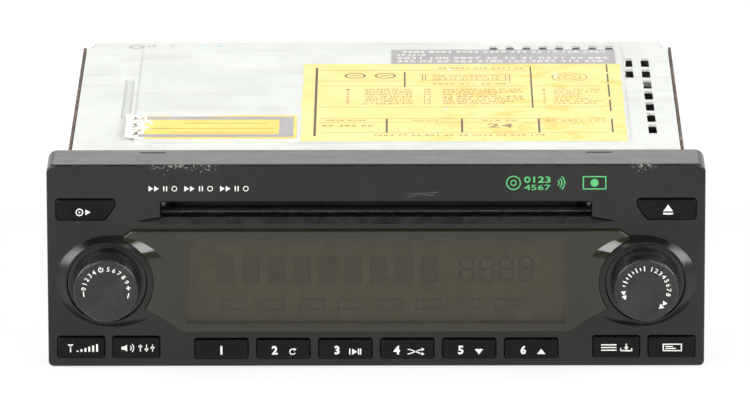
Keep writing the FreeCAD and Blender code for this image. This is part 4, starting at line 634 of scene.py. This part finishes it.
all_screws = bmesh.new()
for low, high in screw_boxes:
    middle = (low + high) / 2
    size = high - low
    if size.x > size.y:
        direction = Vector((math.copysign(1, middle.x), 0, 0))
        length = size.x
    else:
        direction = Vector((0, 1, 0))
        length = size.y
    seat = middle + direction * (length / 2 - head_height * mm)
    turn = Matrix.Rotation(middle.x * 90 + middle.y * 40, 4, "Z")
    join_work(all_screws, cross_screw(length / mm - head_height), aimed(direction, seat) @ turn)
bmesh.ops.recalc_face_normals(all_screws, faces=all_screws.faces)
screws = finished(all_screws, "cross_screws", "body", "screw_steel", steel_finish)
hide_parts("cover_screws")
print("screw faces:", len(screws.data.polygons))

# %% [markdown]
# The stud at the rear carries the player's tail in the dashboard. It is a threaded rod with a hexagon
# head inside the case and a nut outside. Its thread is a zigzag outline spun round the axis: rings
# instead of a helix, which nobody can tell apart at this size. The hexagons are bevelled like turned
# nuts.

# %% Rear stud
hexagon_radius, hexagon_height = 4.6 * mm, 3.0 * mm
stud_low, stud_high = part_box("rear_stud")
stud_length = (stud_high.y - stud_low.y) / mm
stud = bmesh.new()
outline = [(0, 0.5), (2.3, 0.5), (2.3, 7.4)]
height = 7.5
while height < stud_length - 1.2:
    outline += [(2.15, height), (2.48, height + 0.35)]
    height += 0.7
outline += [(2.15, stud_length - 0.6), (1.7, stud_length), (0, stud_length)]
spin_outline(stud, outline, 36)
for bottom in (0.0, 4.0):
    place = Matrix.Translation((0, 0, bottom * mm + hexagon_height / 2)) @ Matrix.Rotation(math.radians(30), 4, "Z")
    made = bmesh.ops.create_cone(stud, cap_ends=True, segments=6, radius1=hexagon_radius, radius2=hexagon_radius,
                                 depth=hexagon_height, matrix=place)["verts"]
    rims = [edge for edge in {link for vert in made for link in vert.link_edges} if len(edge.link_faces) == 2
            and max(len(face.verts) for face in edge.link_faces) == 6]
    bmesh.ops.bevel(stud, geom=rims, offset=0.35 * mm, segments=2, profile=0.5, affect="EDGES", material=-1)
foot = Vector(((stud_low.x + stud_high.x) / 2, stud_low.y, (stud_low.z + stud_high.z) / 2))
bmesh.ops.transform(stud, matrix=aimed((0, 1, 0), foot), verts=stud.verts)
bmesh.ops.recalc_face_normals(stud, faces=stud.faces)
rear_stud = finished(stud, "threaded_stud", "body", "screw_steel", steel_finish)
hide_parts("rear_stud")
print("stud length, mm:", round(stud_length, 1))

# %% [markdown]
# ## Felt in the slot
#
# Two felt strips keep dust out of the slot. Felt edges fray, so a row of small tufts leans out of each
# strip. A tuft is a slim cone with three sides, since hundreds of them have to stay cheap. The random
# numbers have a fixed seed, so the fringe is the same in each render.

# %% Felt fringe
felt_low, felt_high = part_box("slot_felts")
felt_surface = surface_of("slot_felts")
fringe_random = random.Random(4)
tufts_per_side = 220
fringe = bmesh.new()
slot_middle = at(0, 0, 46.35).z
tufts_made = 0
for side in (-1, 1):
    for number in range(tufts_per_side):
        x = felt_low.x + (felt_high.x - felt_low.x) * (number + fringe_random.random()) / tufts_per_side
        y = felt_low.y + fringe_random.uniform(0.15, 0.8) * mm
        edge = felt_surface.ray_cast(Vector((x, y, slot_middle)), Vector((0, 0, side)))[0]
        if edge is None:
            continue
        lean = Vector((fringe_random.uniform(-0.6, 0.6), fringe_random.uniform(-0.5, 0.2), -side))
        length = fringe_random.uniform(0.35, 0.8) * mm
        root = edge + lean.normalized() * length * 0.4
        bmesh.ops.create_cone(fringe, cap_ends=True, segments=3, radius1=fringe_random.uniform(0.08, 0.18) * mm,
                              radius2=0.01 * mm, depth=length, matrix=aimed(lean, root))
        tufts_made += 1
finished(fringe, "felt_fringe", "body", "felt", felt_finish)
print("tufts:", tufts_made)

# %% [markdown]
# ## Contacts of the wiring socket
#
# The socket is one moulding in the CAD model, contacts included. The real contacts are tinned brass
# blades, so the faces that lie in the two rows of blades take a metal finish. Their middles tell them
# apart from the moulding.

# %% Socket with tinned blades
blade_columns = (-7.5, -2.5, 2.5, 7.5)
blade_chambers = (16.65, 41.55)
blade_rows = (17.25, 22.25)
blade_start, blade_end = 158.05, 167.0
half_blade_width, half_blade_height = 1.25, 0.45


def blade_face(face):
    """1 for a face of a contact blade, 0 for the black moulding."""
    x, y, z = (face.calc_center_median() - at(0, 0, 0)) / mm
    row = min(abs(z - middle) for middle in blade_rows)
    column = min(abs(x - chamber - middle) for chamber in blade_chambers for middle in blade_columns)
    return int(blade_start < y < blade_end and row < half_blade_height and column < half_blade_width)


socket = shell("wiring_socket", black_finish, contact_finish, choose=blade_face)
blades = sum(face.material_index for face in socket.data.polygons)
print("blade faces:", blades)

# %% [markdown]
# A capacitor is a metal can in a shrunk sleeve, which leaves the top bare. The faces that look up get
# the finish of the tin. The aerial socket, the felt and the inner screws only need a smooth copy.


# %% Capacitor cans and the last smooth copies
def can_top(face):
    """1 for the bare top of a can, 0 for its sleeve."""
    return int(face.normal.z > 0.5)


shell("capacitors", sleeve_finish, tin_finish, choose=can_top)
for node in ("aerial_socket", "slot_felts", "inner_screws"):
    shell(node)

# %% [markdown]
# ## Printed marks
#
# The signs on the keys are screen printed: a thin film of ink that stands a little proud. The drawing
# class below collects flat shapes in millimetres. When the drawing is laid on a piece, each corner
# drops onto the surface along a ray, and the film is pulled up from there. The signs are the common
# ones for such keys, and the rest are plain numbers.


# %% A drawing in millimetres
ahead_of_face, above_cover = -40, 90
ink_root = 0.006
triangle_width, triangle_height = 1.732, 1.5


class Drawing:
    """Flat shapes in one plane, to be laid on a surface as a film of ink."""

    def __init__(self):
        self.work = bmesh.new()

    def put(self, shape, x, y, turn=0.0, stretch=(1, 1)):
        """Adds a shape, stretched, turned by degrees and moved to its place."""
        moved = Matrix.Translation((x, y, 0)) @ Matrix.Rotation(math.radians(turn), 4, "Z")
        join_work(self.work, shape, moved @ Matrix.Diagonal((*stretch, 1, 1)))

    def bar(self, x, y, width, height, turn=0.0):
        """A bar round its middle."""
        shape = bmesh.new()
        bmesh.ops.create_grid(shape, x_segments=1, y_segments=1, size=0.5)
        self.put(shape, x, y, turn, (width, height))

    def bars(self, *rows):
        """Several bars, each given as for bar."""
        for row in rows:
            self.bar(*row)

    def arrow(self, x, y, width, height, turn=0.0):
        """A filled triangle that points up before it is turned."""
        shape = bmesh.new()
        bmesh.ops.create_circle(shape, cap_ends=True, segments=3, radius=1.0)
        self.put(shape, x, y, turn, (width / triangle_width, height / triangle_height))

    def disc(self, x, y, radius):
        """A filled disc."""
        shape = bmesh.new()
        bmesh.ops.create_circle(shape, cap_ends=True, segments=18, radius=radius)
        self.put(shape, x, y)

    def ring(self, x, y, radius, line, start=0.0, end=360.0):
        """A ring, or the part of it between two angles in degrees."""
        shape = bmesh.new()
        pair = [shape.verts.new((radius + line / 2, 0, 0)), shape.verts.new((radius - line / 2, 0, 0))]
        steps = max(4, round((end - start) / 12))
        bmesh.ops.spin(shape, geom=pair + [shape.edges.new(pair)], axis=(0, 0, 1), cent=(0, 0, 0),
                       angle=math.radians(end - start), steps=steps)
        self.put(shape, x, y, start)

    def frame(self, x0, y0, x1, y1, line):
        """A rectangle of four lines."""
        for y in (y0, y1):
            self.bar((x0 + x1) / 2, y, x1 - x0 + line, line)
        for x in (x0, x1):
            self.bar(x, (y0 + y1) / 2, line, y1 - y0 - line)

    def figures(self, text, x, y, height, turn=0.0, weight=0.0, width=None):
        """Plain figures round their middle. weight makes them bold, width stretches them."""
        curve = bpy.data.curves.new("figures", "FONT")
        curve.body = text
        curve.resolution_u = 2
        curve.offset = weight
        holder = bpy.data.objects.new("figures", curve)
        flat = bpy.data.meshes.new_from_object(holder)
        low, high = corners_of(flat.vertices)
        flat.transform(Matrix.Translation(-(low + high) / 2))
        shape = bmesh.new()
        shape.from_mesh(flat)
        scale = height / (high.y - low.y)
        self.put(shape, x, y, turn, (width / (high.x - low.x) if width else scale, scale))
        bpy.data.meshes.remove(flat)
        bpy.data.objects.remove(holder)
        bpy.data.curves.remove(curve)

    def lay(self, name, surface, finish, slot, body="body", facing="front", film=0.02):
        """Drops the drawing on a surface from the front or the top, and makes it a film of ink."""
        inward = -front if facing == "front" else -top
        bmesh.ops.remove_doubles(self.work, verts=self.work.verts, dist=0.001)
        for vert in self.work.verts:
            x, y = vert.co.xy
            start = at(x, ahead_of_face, y) if facing == "front" else at(x, y, above_cover)
            hit = surface.ray_cast(start, inward)[0]
            if hit is None:
                raise ValueError(f"{name} reaches past its surface at {vert.co}")
            vert.co = hit - inward * ink_root * mm
        pull_faces(self.work, self.work.faces[:], -inward * film * mm, use_keep_orig=True)
        bmesh.ops.recalc_face_normals(self.work, faces=self.work.faces)
        return finished(self.work, name, body, slot, finish)


# %% [markdown]
# The six station keys carry their number, and the keys from 2 to 6 a small second sign as well. The
# second signs are those for repeating, sampling and mixing tracks and for the next and the last folder.

# %% Station keys
second_sign_z = 4.65
station_numbers = {1: -44.4, 2: -29.1, 3: -11.25, 4: 5.85, 5: 24.2, 6: 42.1}
key_marks = {number: Drawing() for number in station_numbers}
for number, x in station_numbers.items():
    key_marks[number].figures(str(number), x, 5.1, 2.6, weight=0.035)


def print_on(node, drawing, name):
    """Prints a drawing in white on a key or a knob, and lets it move along."""
    drawing.lay(name, surface_of(node), white_ink, slot_names[node], node)


repeat = key_marks[2]
repeat.ring(-24.0, second_sign_z, 0.78, 0.3, 60, 340)
repeat.arrow(-23.35, 5.35, 0.85, 0.8, -75)

sample = key_marks[3]
sample.bar(-7.6, second_sign_z, 0.35, 1.8)
sample.arrow(-6.45, second_sign_z, 1.8, 1.5, -90)
for x in (-5.1, -4.5):
    sample.bar(x, second_sign_z, 0.35, 1.8)

mixed = key_marks[4]
for side in (-1, 1):
    mixed.bar(11.2, second_sign_z, 3.4, 0.3, 22 * side)
    mixed.bar(9.35, second_sign_z - 0.66 * side, 0.8, 0.3)
    mixed.arrow(13.25, second_sign_z + 0.66 * side, 0.95, 0.9, -90)

key_marks[5].arrow(29.4, 4.85, 2.4, 1.6, 180)
key_marks[6].arrow(47.25, 4.4, 2.4, 1.6)
for number, marks in key_marks.items():
    print_on(f"preset_key_{number}", marks, f"key_{number}_marks")
print("station keys marked:", len(key_marks))

# %% [markdown]
# The corner keys show what they switch: a mast with rising bars for the wave band, a loudspeaker with
# sliders for the sound, a list with an arrow for storing, and a framed page for the display. The key
# at the top left cycles the source, and the one at the top right pushes the disc out.

# %% Corner keys
band = Drawing()
band.bar(-87.6, 5.6, 0.32, 2.0)
band.arrow(-87.6, 6.6, 1.7, 1.0, 180)
for step in range(6):
    band.bar(-85.6 + 1.12 * step, 4.7 + 0.19 * (step + 1), 0.55, 0.38 * (step + 1))
print_on("band_key", band, "band_marks")

sound = Drawing()
sound_z = 5.8
sound.bar(-72.6, sound_z, 0.8, 0.9)
sound.arrow(-71.9, sound_z, 2.1, 1.5, 90)
for radius in (0.9, 1.6):
    sound.ring(-71.1, sound_z, radius, 0.28, -45, 45)
for step, knob in enumerate((0.45, -0.35, 0.1)):
    x = -67.6 + 1.75 * step
    sound.bar(x, sound_z, 0.26, 2.1)
    sound.bar(x, sound_z + knob, 1.05, 0.55)
print_on("sound_key", sound, "sound_marks")

store = Drawing()
tray_x = 71.6
for step in range(3):
    store.bar(66.6, 5.0 + 0.8 * step, 4.4, 0.34)
store.bar(tray_x, 6.4, 0.4, 1.0)
store.arrow(tray_x, 5.65, 1.4, 0.9, 180)
store.bar(tray_x, 4.85, 3.4, 0.34)
for side in (-1, 1):
    store.bar(tray_x + 1.55 * side, 5.25, 0.34, 0.7)
print_on("store_key", store, "store_marks")

show = Drawing()
show.frame(82.2, 4.85, 87.4, 6.75, 0.32)
show.bars((83.9, 6.1, 2.2, 0.3), (84.3, 5.5, 3.0, 0.3))
print_on("display_key", show, "display_marks")

source = Drawing()
source.ring(-84.6, 46.1, 0.95, 0.3)
source.disc(-84.6, 46.1, 0.28)
source.arrow(-82.4, 46.1, 1.6, 1.5, -90)
print_on("source_key", source, "source_marks")

eject = Drawing()
eject.arrow(83.3, 46.85, 2.8, 1.95)
eject.bar(83.3, 45.5, 2.8, 0.5)
print_on("eject_key", eject, "eject_marks")
print("corner keys marked")

# %% [markdown]
# Both knobs have marks on an arc round the middle of their front. They are printed on the knob, so
# they turn with it, and each is placed by its angle. The left knob has the power sign, a minus and a
# plus and a scale of figures. The right one has arrows and a finer scale.

# %% Knob marks
knob_z = 25.45
knob_x = 76.9
arc_radius = 6.45


def on_arc(side, angle, radius=arc_radius):
    """The place on a knob's arc. side is -1 for the left knob and 1 for the right one."""
    return (side * knob_x + radius * math.cos(math.radians(angle)), knob_z + radius * math.sin(math.radians(angle)))


volume = Drawing()
volume.bar(*on_arc(-1, 188), 1.5, 0.32, 98)
for step, figure in enumerate("0123456789"):
    angle = 174 - 13 * step if step < 5 else 84 - 15 * (step - 5)
    volume.figures(figure, *on_arc(-1, angle), 1.35, angle - 90, 0.01)
volume.ring(*on_arc(-1, 103), 0.62, 0.26, 120, 420)
volume.bar(*on_arc(-1, 103, arc_radius + 0.45), 0.26, 0.9, 13)
plus = on_arc(-1, 8)
volume.bars((*plus, 1.3, 0.32, -82), (*plus, 0.32, 1.3, -82))
volume.bar(*on_arc(-1, -12), 1.5, 0.32, -102)
print_on("volume_knob", volume, "volume_marks")

tuning = Drawing()
for angle in (198, 186):
    tuning.arrow(*on_arc(1, angle), 1.5, 1.3, angle)
for step in range(8):
    angle = 168 - 10.5 * step
    tuning.bar(*on_arc(1, angle), 0.3, 1.5 if step % 2 else 0.9, angle - 90)
for step, figure in enumerate("12345678"):
    angle = 76 - 12.5 * step
    tuning.figures(figure, *on_arc(1, angle), 1.35, angle - 90, 0.01)
for angle in (-36, -48):
    tuning.arrow(*on_arc(1, angle), 1.5, 1.3, angle - 180)
print_on("tuning_knob", tuning, "tuning_marks")
print("knob marks laid")

# %% [markdown]
# Above the slot are two short rows of marks. The thin white one on the left repeats the signs for
# winding on, pause and a disc. The green one on the right has a disc, figures, sound waves and a framed
# dot. A few fine scuffs lie between the rows, where discs have missed the slot.

# %% Marks and scuffs above the slot
face_surface = surface_of("front_panel")
row_z, green_z = 52.8, 54.4
row = Drawing()
for x in (-64.4, -54.2, -44.0):
    for shift in (0, 1.6):
        row.arrow(x + shift, row_z, 1.6, 1.3, -90)
    for shift in (3.9, 4.7):
        row.bar(x + shift, row_z, 0.32, 1.5)
    row.ring(x + 6.9, row_z, 0.68, 0.22)
row.lay("left_row", face_surface, white_ink, "face_plastic")

green = Drawing()
green.ring(39.2, green_z, 1.95, 0.34)
green.ring(39.2, green_z, 0.75, 0.3)
green.figures("0123", 46.0, 55.35, 1.9, weight=0.02, width=7.6)
green.figures("4567", 46.0, 53.05, 1.6, weight=0.01, width=7.6)
for radius in (0.9, 1.7, 2.5):
    green.ring(51.3, green_z, radius, 0.34, -50, 50)
green.frame(59.1, 52.6, 65.5, 56.2, 0.34)
green.disc(62.3, green_z, 1.15)
green.lay("green_row", face_surface, green_ink, "face_plastic")

scuffs = Drawing()
for x, z, length, turn in ((12.8, 51.3, 7.0, 3), (14.6, 50.8, 4.6, -3), (10.2, 50.5, 3.0, 9), (17.0, 51.6, 2.0, 14)):
    scuffs.bar(x, z, length, 0.13, turn)
scuffs.lay("scuffs", face_surface, scuff_ink, "face_plastic", film=0.01)
print("marks above the slot laid")

# %% [markdown]
# Segments of a liquid crystal that are off still differ a little from the glass round them. A line of
# characters made of small dots, a few digits of seven bars and a row of boxes are drawn on the glass.

# %% Segments on the crystal glass
segments = Drawing()
for place in range(9):
    for column in range(5):
        for line in range(7):
            segments.bar(-45.2 + 7.3 * place + 1.05 * column, 24.5 + 1.15 * line, 0.85, 0.95)
for place in range(4):
    x = 26.0 + 5.6 * place
    for line in range(3):
        segments.bar(x, 24.9 + 3.4 * line, 2.9, 0.75)
    for side in (-1, 1):
        for line in range(2):
            segments.bar(x + 1.85 * side, 26.6 + 3.4 * line, 0.75, 2.7)
for place in range(8):
    segments.frame(-44.5 + 11.2 * place, 16.4, -37.5 + 11.2 * place, 19.2, 0.5)
segments.lay("crystal_marks", surface_of("display_glass"), segment_finish, "display_glass", film=0.01)
print("segments drawn")

# %% [markdown]
# ## Labels on the cover
#
# Three stickers lie on the cover. A sticker is a thin sheet whose edges are never quite straight once
# it has aged: the large one has wavy sides, and the small one is torn along its rear edge and has
# lifted at its left end. Each is a grid whose corners are drawn to those edges, dropped onto the
# cover and then given the thickness of paper.

# %% A label sheet
cover_surface = surface_of("top_cover")
label_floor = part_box("cover_labels")[0].z
torn_middle = -57
paper_thickness = 0.1


def rough_edge(place, size, seed):
    """A number between -1 and 1 that wanders along an edge, in steps of about that size."""
    return noise.noise(Vector((place / size, seed, 0))) + 0.5 * noise.noise(Vector((3 * place / size, seed, 5)))


def label_sheet(name, limits, finish, wave=0.0, torn=0.0, lifted=0.0, step=1.6):
    """Lays a sticker on the cover, and returns its surface for the print. Sizes are in millimetres."""
    x0, x1, y0, y1 = limits
    work = bmesh.new()
    bmesh.ops.create_grid(work, x_segments=round((x1 - x0) / step), y_segments=round((y1 - y0) / step), size=0.5)
    for vert in work.verts:
        u, v = vert.co.x + 0.5, vert.co.y + 0.5
        x, y = x0 + u * (x1 - x0), y0 + v * (y1 - y0)
        x += wave * (rough_edge(y, 9, 1) * (1 - u) ** 8 - abs(rough_edge(y, 14, 2)) * u ** 8)
        y += 0.4 * wave * (rough_edge(x, 12, 3) * (1 - v) ** 8 - abs(rough_edge(x, 12, 4)) * v ** 8)
        y -= torn * max(0.0, 0.45 + rough_edge(x, 3.5, 6)) * v ** 5 * max(0.0, 1 - abs(x - torn_middle) / 16)
        ground = cover_surface.ray_cast(at(x, y, above_cover), -top)[0] or at(x, y, 0)
        ground.z = max(ground.z, label_floor)
        rise = lifted * max(0.0, 1 - u * (x1 - x0) / 5) ** 2 * (0.7 + 0.5 * rough_edge(y, 6, 7))
        vert.co = ground + Vector((0, 0, (0.01 + rise) * mm))
    pull_faces(work, work.faces[:], (0, 0, paper_thickness * mm), use_keep_orig=True)
    bmesh.ops.recalc_face_normals(work, faces=work.faces)
    surface = BVHTree.FromBMesh(work)
    sheet = finished(work, name, "body", "label_paper", finish)
    return sheet, surface


def print_above(drawing, name, surface, finish=faint_ink, film=0.02, slot="label_paper"):
    """Prints a drawing on a sticker or on the bare cover, from above."""
    drawing.lay(name, surface, finish, slot, facing="top", film=film)


large_sheet, large_surface = label_sheet("large_label", (-22.0, 73.0, 42.5, 134.0), yellow_paper, wave=0.7)
strip_sheet, strip_surface = label_sheet("strip_label", (4.3, 71.8, 134.4, 151.7), grey_paper, wave=0.2)
small_sheet, small_surface = label_sheet("small_label", (-73.2, -23.2, 45.7, 72.5), orange_paper, 0.5, 5.0, 0.9)
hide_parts("cover_labels")
print("sheets:", [len(sheet.data.polygons) for sheet in (large_sheet, strip_sheet, small_sheet)])

# %% [markdown]
# The large label is a form: ruled lines, boxes and rows of small figures. The rows are plain figures
# from a random generator with a fixed seed, in groups, which read as a table of data from any
# distance at which the label is seen.

# %% Rules and figures on the large label
form = Drawing()
form.bar(-18.0, 88.5, 0.75, 81.0)
for y0, y1 in ((123.5, 133.0), (111.0, 121.5), (93.5, 109.0), (77.0, 90.0), (52.0, 68.0)):
    form.bar(68.9, (y0 + y1) / 2, 0.5, y1 - y0)
form.bars((46.0, 105.5, 0.5, 49.0), (8.3, 115.0, 0.5, 18.0))
for x in (3.0, 25.0, 47.5):
    form.bar(x, 60.0, 0.6, 16.0)
print_above(form, "form_columns", large_surface, form_ink)

rules = Drawing()
for y, x0, x1 in ((126.0, -17.0, 45.0), (113.0, -17.0, 7.5), (107.0, -17.0, 45.0), (106.6, 47.0, 67.5),
                  (81.8, -17.0, 67.5), (68.3, -17.0, 67.5), (64.0, -17.0, 67.5), (52.0, -17.0, 67.5)):
    rules.bar((x0 + x1) / 2, y, x1 - x0, 0.28)
rules.frame(14.5, 113.6, 38.5, 120.4, 0.25)
for x in (13.6, 39.6):
    rules.bar(x, 117.0, 0.3, 9.0)
print_above(rules, "form_rules", large_surface)

figure_random = random.Random(11)


def figure_groups(count):
    """That many groups of random figures with gaps between them."""
    return " ".join("".join(figure_random.choice("0123456789") for _ in range(figure_random.randint(2, 4)))
                    for _ in range(count))


table = Drawing()
table_top, line_height = 102.6, 2.75
for line in range(7):
    y = table_top - line_height * line
    table.figures(f"{line + 1}", -8.6, y, 1.7, width=1.1)
    table.figures(figure_groups(4), 3.5, y, 1.8, width=15 + figure_random.uniform(-3, 1))
    table.figures(f"{line + 8:02}", 15.0, y, 1.7, width=2.0)
    wide = 21 + figure_random.uniform(-5, 3)
    table.figures(figure_groups(5), 19.5 + wide / 2, y, 1.8, width=wide)
    wide = 12 + figure_random.uniform(-5, 3)
    table.figures(f"{line + 1}", 49.6, y, 1.4, width=0.9)
    table.figures(figure_groups(3), 52.5 + wide / 2, y, 1.4, width=wide)
for y, x, wide, height in ((128.6, 31.0, 26, 1.6), (109.7, 27.5, 22, 1.5), (118.7, 26.5, 20, 1.5),
                           (115.4, 26.5, 20, 1.5), (66.2, -9.0, 12, 1.4), (66.2, 14.0, 8, 1.4),
                           (66.2, 36.0, 10, 1.4), (66.2, 58.0, 17, 1.4), (49.0, 24.0, 50, 1.9),
                           (60.0, -8.5, 15, 2.2)):
    table.figures(figure_groups(max(2, round(wide / 5))), x, y, height, width=wide)
table.figures("24", 36.2, 60.0, 4.6, weight=0.02, width=7.6)
print_above(table, "form_figures", large_surface)

signs = Drawing()
for x in (-6.5, 2.5):
    signs.ring(x, 119.5, 2.9, 0.55)
    signs.bar(x, 119.5, 3.0, 0.5)
print_above(signs, "form_signs", large_surface, form_ink)
rings = Drawing()
for radius in (1.6, 3.4, 5.2):
    rings.ring(57.5, 117.5, radius, 0.3)
print_above(rings, "form_rings", large_surface)
print("form printed")

# %% [markdown]
# The grey strip carries rows of white figures. The small label has a grey band on three of its sides and
# a few ruled lines in its field, and small dark scraps have stuck to its bare left end.

# %% Print of the strip and the small label
strip = Drawing()
for y, x0, x1 in ((148.9, 7.5, 69.0), (145.0, 6.0, 14.5), (141.2, 6.0, 69.5), (137.3, 6.0, 68.0)):
    strip.figures(figure_groups(max(2, round((x1 - x0) / 7))), (x0 + x1) / 2, y, 2.3, width=x1 - x0)
print_above(strip, "strip_figures", strip_surface, white_ink)

frame_band = Drawing()
frame_band.bars((-45.7, 69.1, 43.0, 3.4), (-46.7, 48.7, 45.0, 3.0), (-26.3, 58.8, 4.2, 17.2))
print_above(frame_band, "small_label_band", small_surface, grey_paper, 0.03)

lines = Drawing()
lines.bars((-44.0, 63.2, 24.0, 0.5), (-48.0, 57.2, 36.0, 0.5), (-44.5, 52.6, 30.0, 0.35))
print_above(lines, "small_label_lines", small_surface)

scraps = Drawing()
scrap_random = random.Random(9)
for number in range(26):
    x = -70.9 + abs(scrap_random.gauss(0, 1.1))
    turn, wide, high = (scrap_random.uniform(*limits) for limits in ((0, 120), (0.7, 2.2), (0.4, 1.2)))
    scraps.arrow(x, scrap_random.uniform(49.0, 69.5), wide, high, turn)
print_above(scraps, "small_label_scraps", small_surface, form_ink)
print("strip and small label printed")

# %% [markdown]
# Somebody wrote on the bare sheet with a marker pen long ago. The pen strokes are wide and faded, so
# they are drawn as broad figures and bars in a weak ink.

# %% Faded pen marks
pen = Drawing()
pen.ring(-73.0, 157.6, 1.9, 1.1)
pen.figures("017", -65.0, 157.6, 4.4, weight=0.03, width=10.5)
print_above(pen, "pen_marks", cover_surface, pen_ink, 0.01, "chassis_steel")
tick = Drawing()
tick.bar(-52.6, 157.8, 2.6, 1.2, 20)
tick.figures("2", -48.2, 157.6, 4.0, weight=0.02, width=3.0)
print_above(tick, "green_tick", cover_surface, green_pen_ink, 0.01, "chassis_steel")

# %% [markdown]
# ## Stage and light
#
# The player stands on a white sheet that is wide enough for every view. A white wall far behind it
# gives the flat, shallow reflections on the cover and on the top of the face. Both mix some plain
# white light of their own into what the camera and the reflections see, so that the background stays
# white while the player still throws its soft shadow.

# %% Floor and wall
white_share = 0.80
stage_white = Finish("stage_white", Base_Color=(0.86, 0.86, 0.85, 1), Roughness=0.9, Specular_IOR_Level=0.1)
rays = stage_white.node("LightPath").outputs
mirrored = stage_white.math("ADD", rays["Is Glossy Ray"], rays["Is Transmission Ray"])
seen = stage_white.node("Math", {0: rays["Is Camera Ray"], 1: mirrored}, operation="ADD", use_clamp=True)
share = stage_white.both(seen.outputs[0], white_share)
glow = stage_white.node("Emission", {"Color": (1, 1, 0.995, 1)})
blend = stage_white.node("MixShader", {0: share, 1: stage_white.shader.outputs[0], 2: glow.outputs[0]})
stage_surface = stage_white.tree.nodes["Material Output"].inputs["Surface"]
stage_white.tree.links.new(blend.outputs[0], stage_surface)


def stage_piece(work, name):
    """A stage object in the white material."""
    mesh = bpy.data.meshes.new(name)
    work.to_mesh(mesh)
    work.free()
    mesh.materials.append(stage_white.material)
    return in_scene(name, mesh)


floor_radius, wall_radius, wall_height = 8.0, 7.5, 4.5
floor_gap = 0.2 * mm
floor_mesh = bmesh.new()
bmesh.ops.create_circle(floor_mesh, cap_ends=True, segments=64, radius=floor_radius)
bmesh.ops.translate(floor_mesh, verts=floor_mesh.verts, vec=(0, 0, -floor_gap))
floor = stage_piece(floor_mesh, "floor")

wall_mesh = bmesh.new()
pair = [wall_mesh.verts.new((-wall_radius, 0, height)) for height in (0, wall_height)]
bmesh.ops.spin(wall_mesh, geom=pair + [wall_mesh.edges.new(pair)], axis=(0, 0, 1), cent=(0, 0, 0),
               angle=-math.pi, steps=32)
wall = stage_piece(wall_mesh, "wall")
print("floor radius", floor_radius, "m, wall behind at", wall_radius, "m")

# %% [markdown]
# One box light hangs above and behind the player. It lights the cover and the floor and draws the
# bright lines on the upper edges. The rest come in pairs and are there for their reflections: one
# pair at the sides for the outer slopes of the collars, a narrow one in front for the slopes of the
# lens, and one high in front for the rounded edges of the knobs. All stand clear of the directions
# that the flat face and the ledge under the slot mirror, so those stay dark.


# %% Lights
player_middle = Vector((0, 0, 0.03))


def box_light(name, centre, width, height, watts):
    """A soft box that faces the player."""
    data = bpy.data.lights.new(name, "AREA")
    data.shape = "RECTANGLE"
    data.size = width
    data.size_y = height
    data.energy = watts
    lamp = in_scene(name, data)
    aim = player_middle - Vector(centre)
    lamp.rotation_euler = aim.to_track_quat("-Z", "Y").to_euler()
    lamp.location = centre


def toward(side, azimuth, elevation, distance):
    """A place that many degrees to one side of straight ahead and above the floor."""
    turn, rise = math.radians(azimuth), math.radians(elevation)
    flat = distance * math.cos(rise)
    return (side * flat * math.sin(turn), -flat * math.cos(turn), distance * math.sin(rise))


box_light("box_above", (0, 1.0, 2.0), 1.4, 1.0, 10.5)
for side, hand in ((-1, "left"), (1, "right")):
    box_light(f"box_high_{hand}", toward(side, 27, 50, 1.8), 0.42, 0.42, 4)
    box_light(f"box_side_{hand}", toward(side, 84, 32, 1.3), 0.85, 0.75, 16)
    box_light(f"box_front_{hand}", toward(side, 20, 17, 1.6), 0.38, 0.52, 6.5)

world = bpy.data.worlds.new("world")
bpy.context.scene.world = world
world.use_nodes = True
world.node_tree.nodes["Background"].inputs["Color"].default_value = (0.085, 0.085, 0.085, 1)
bpy.context.scene.view_settings.view_transform = "Standard"
print("lights:", len(bpy.data.lights))
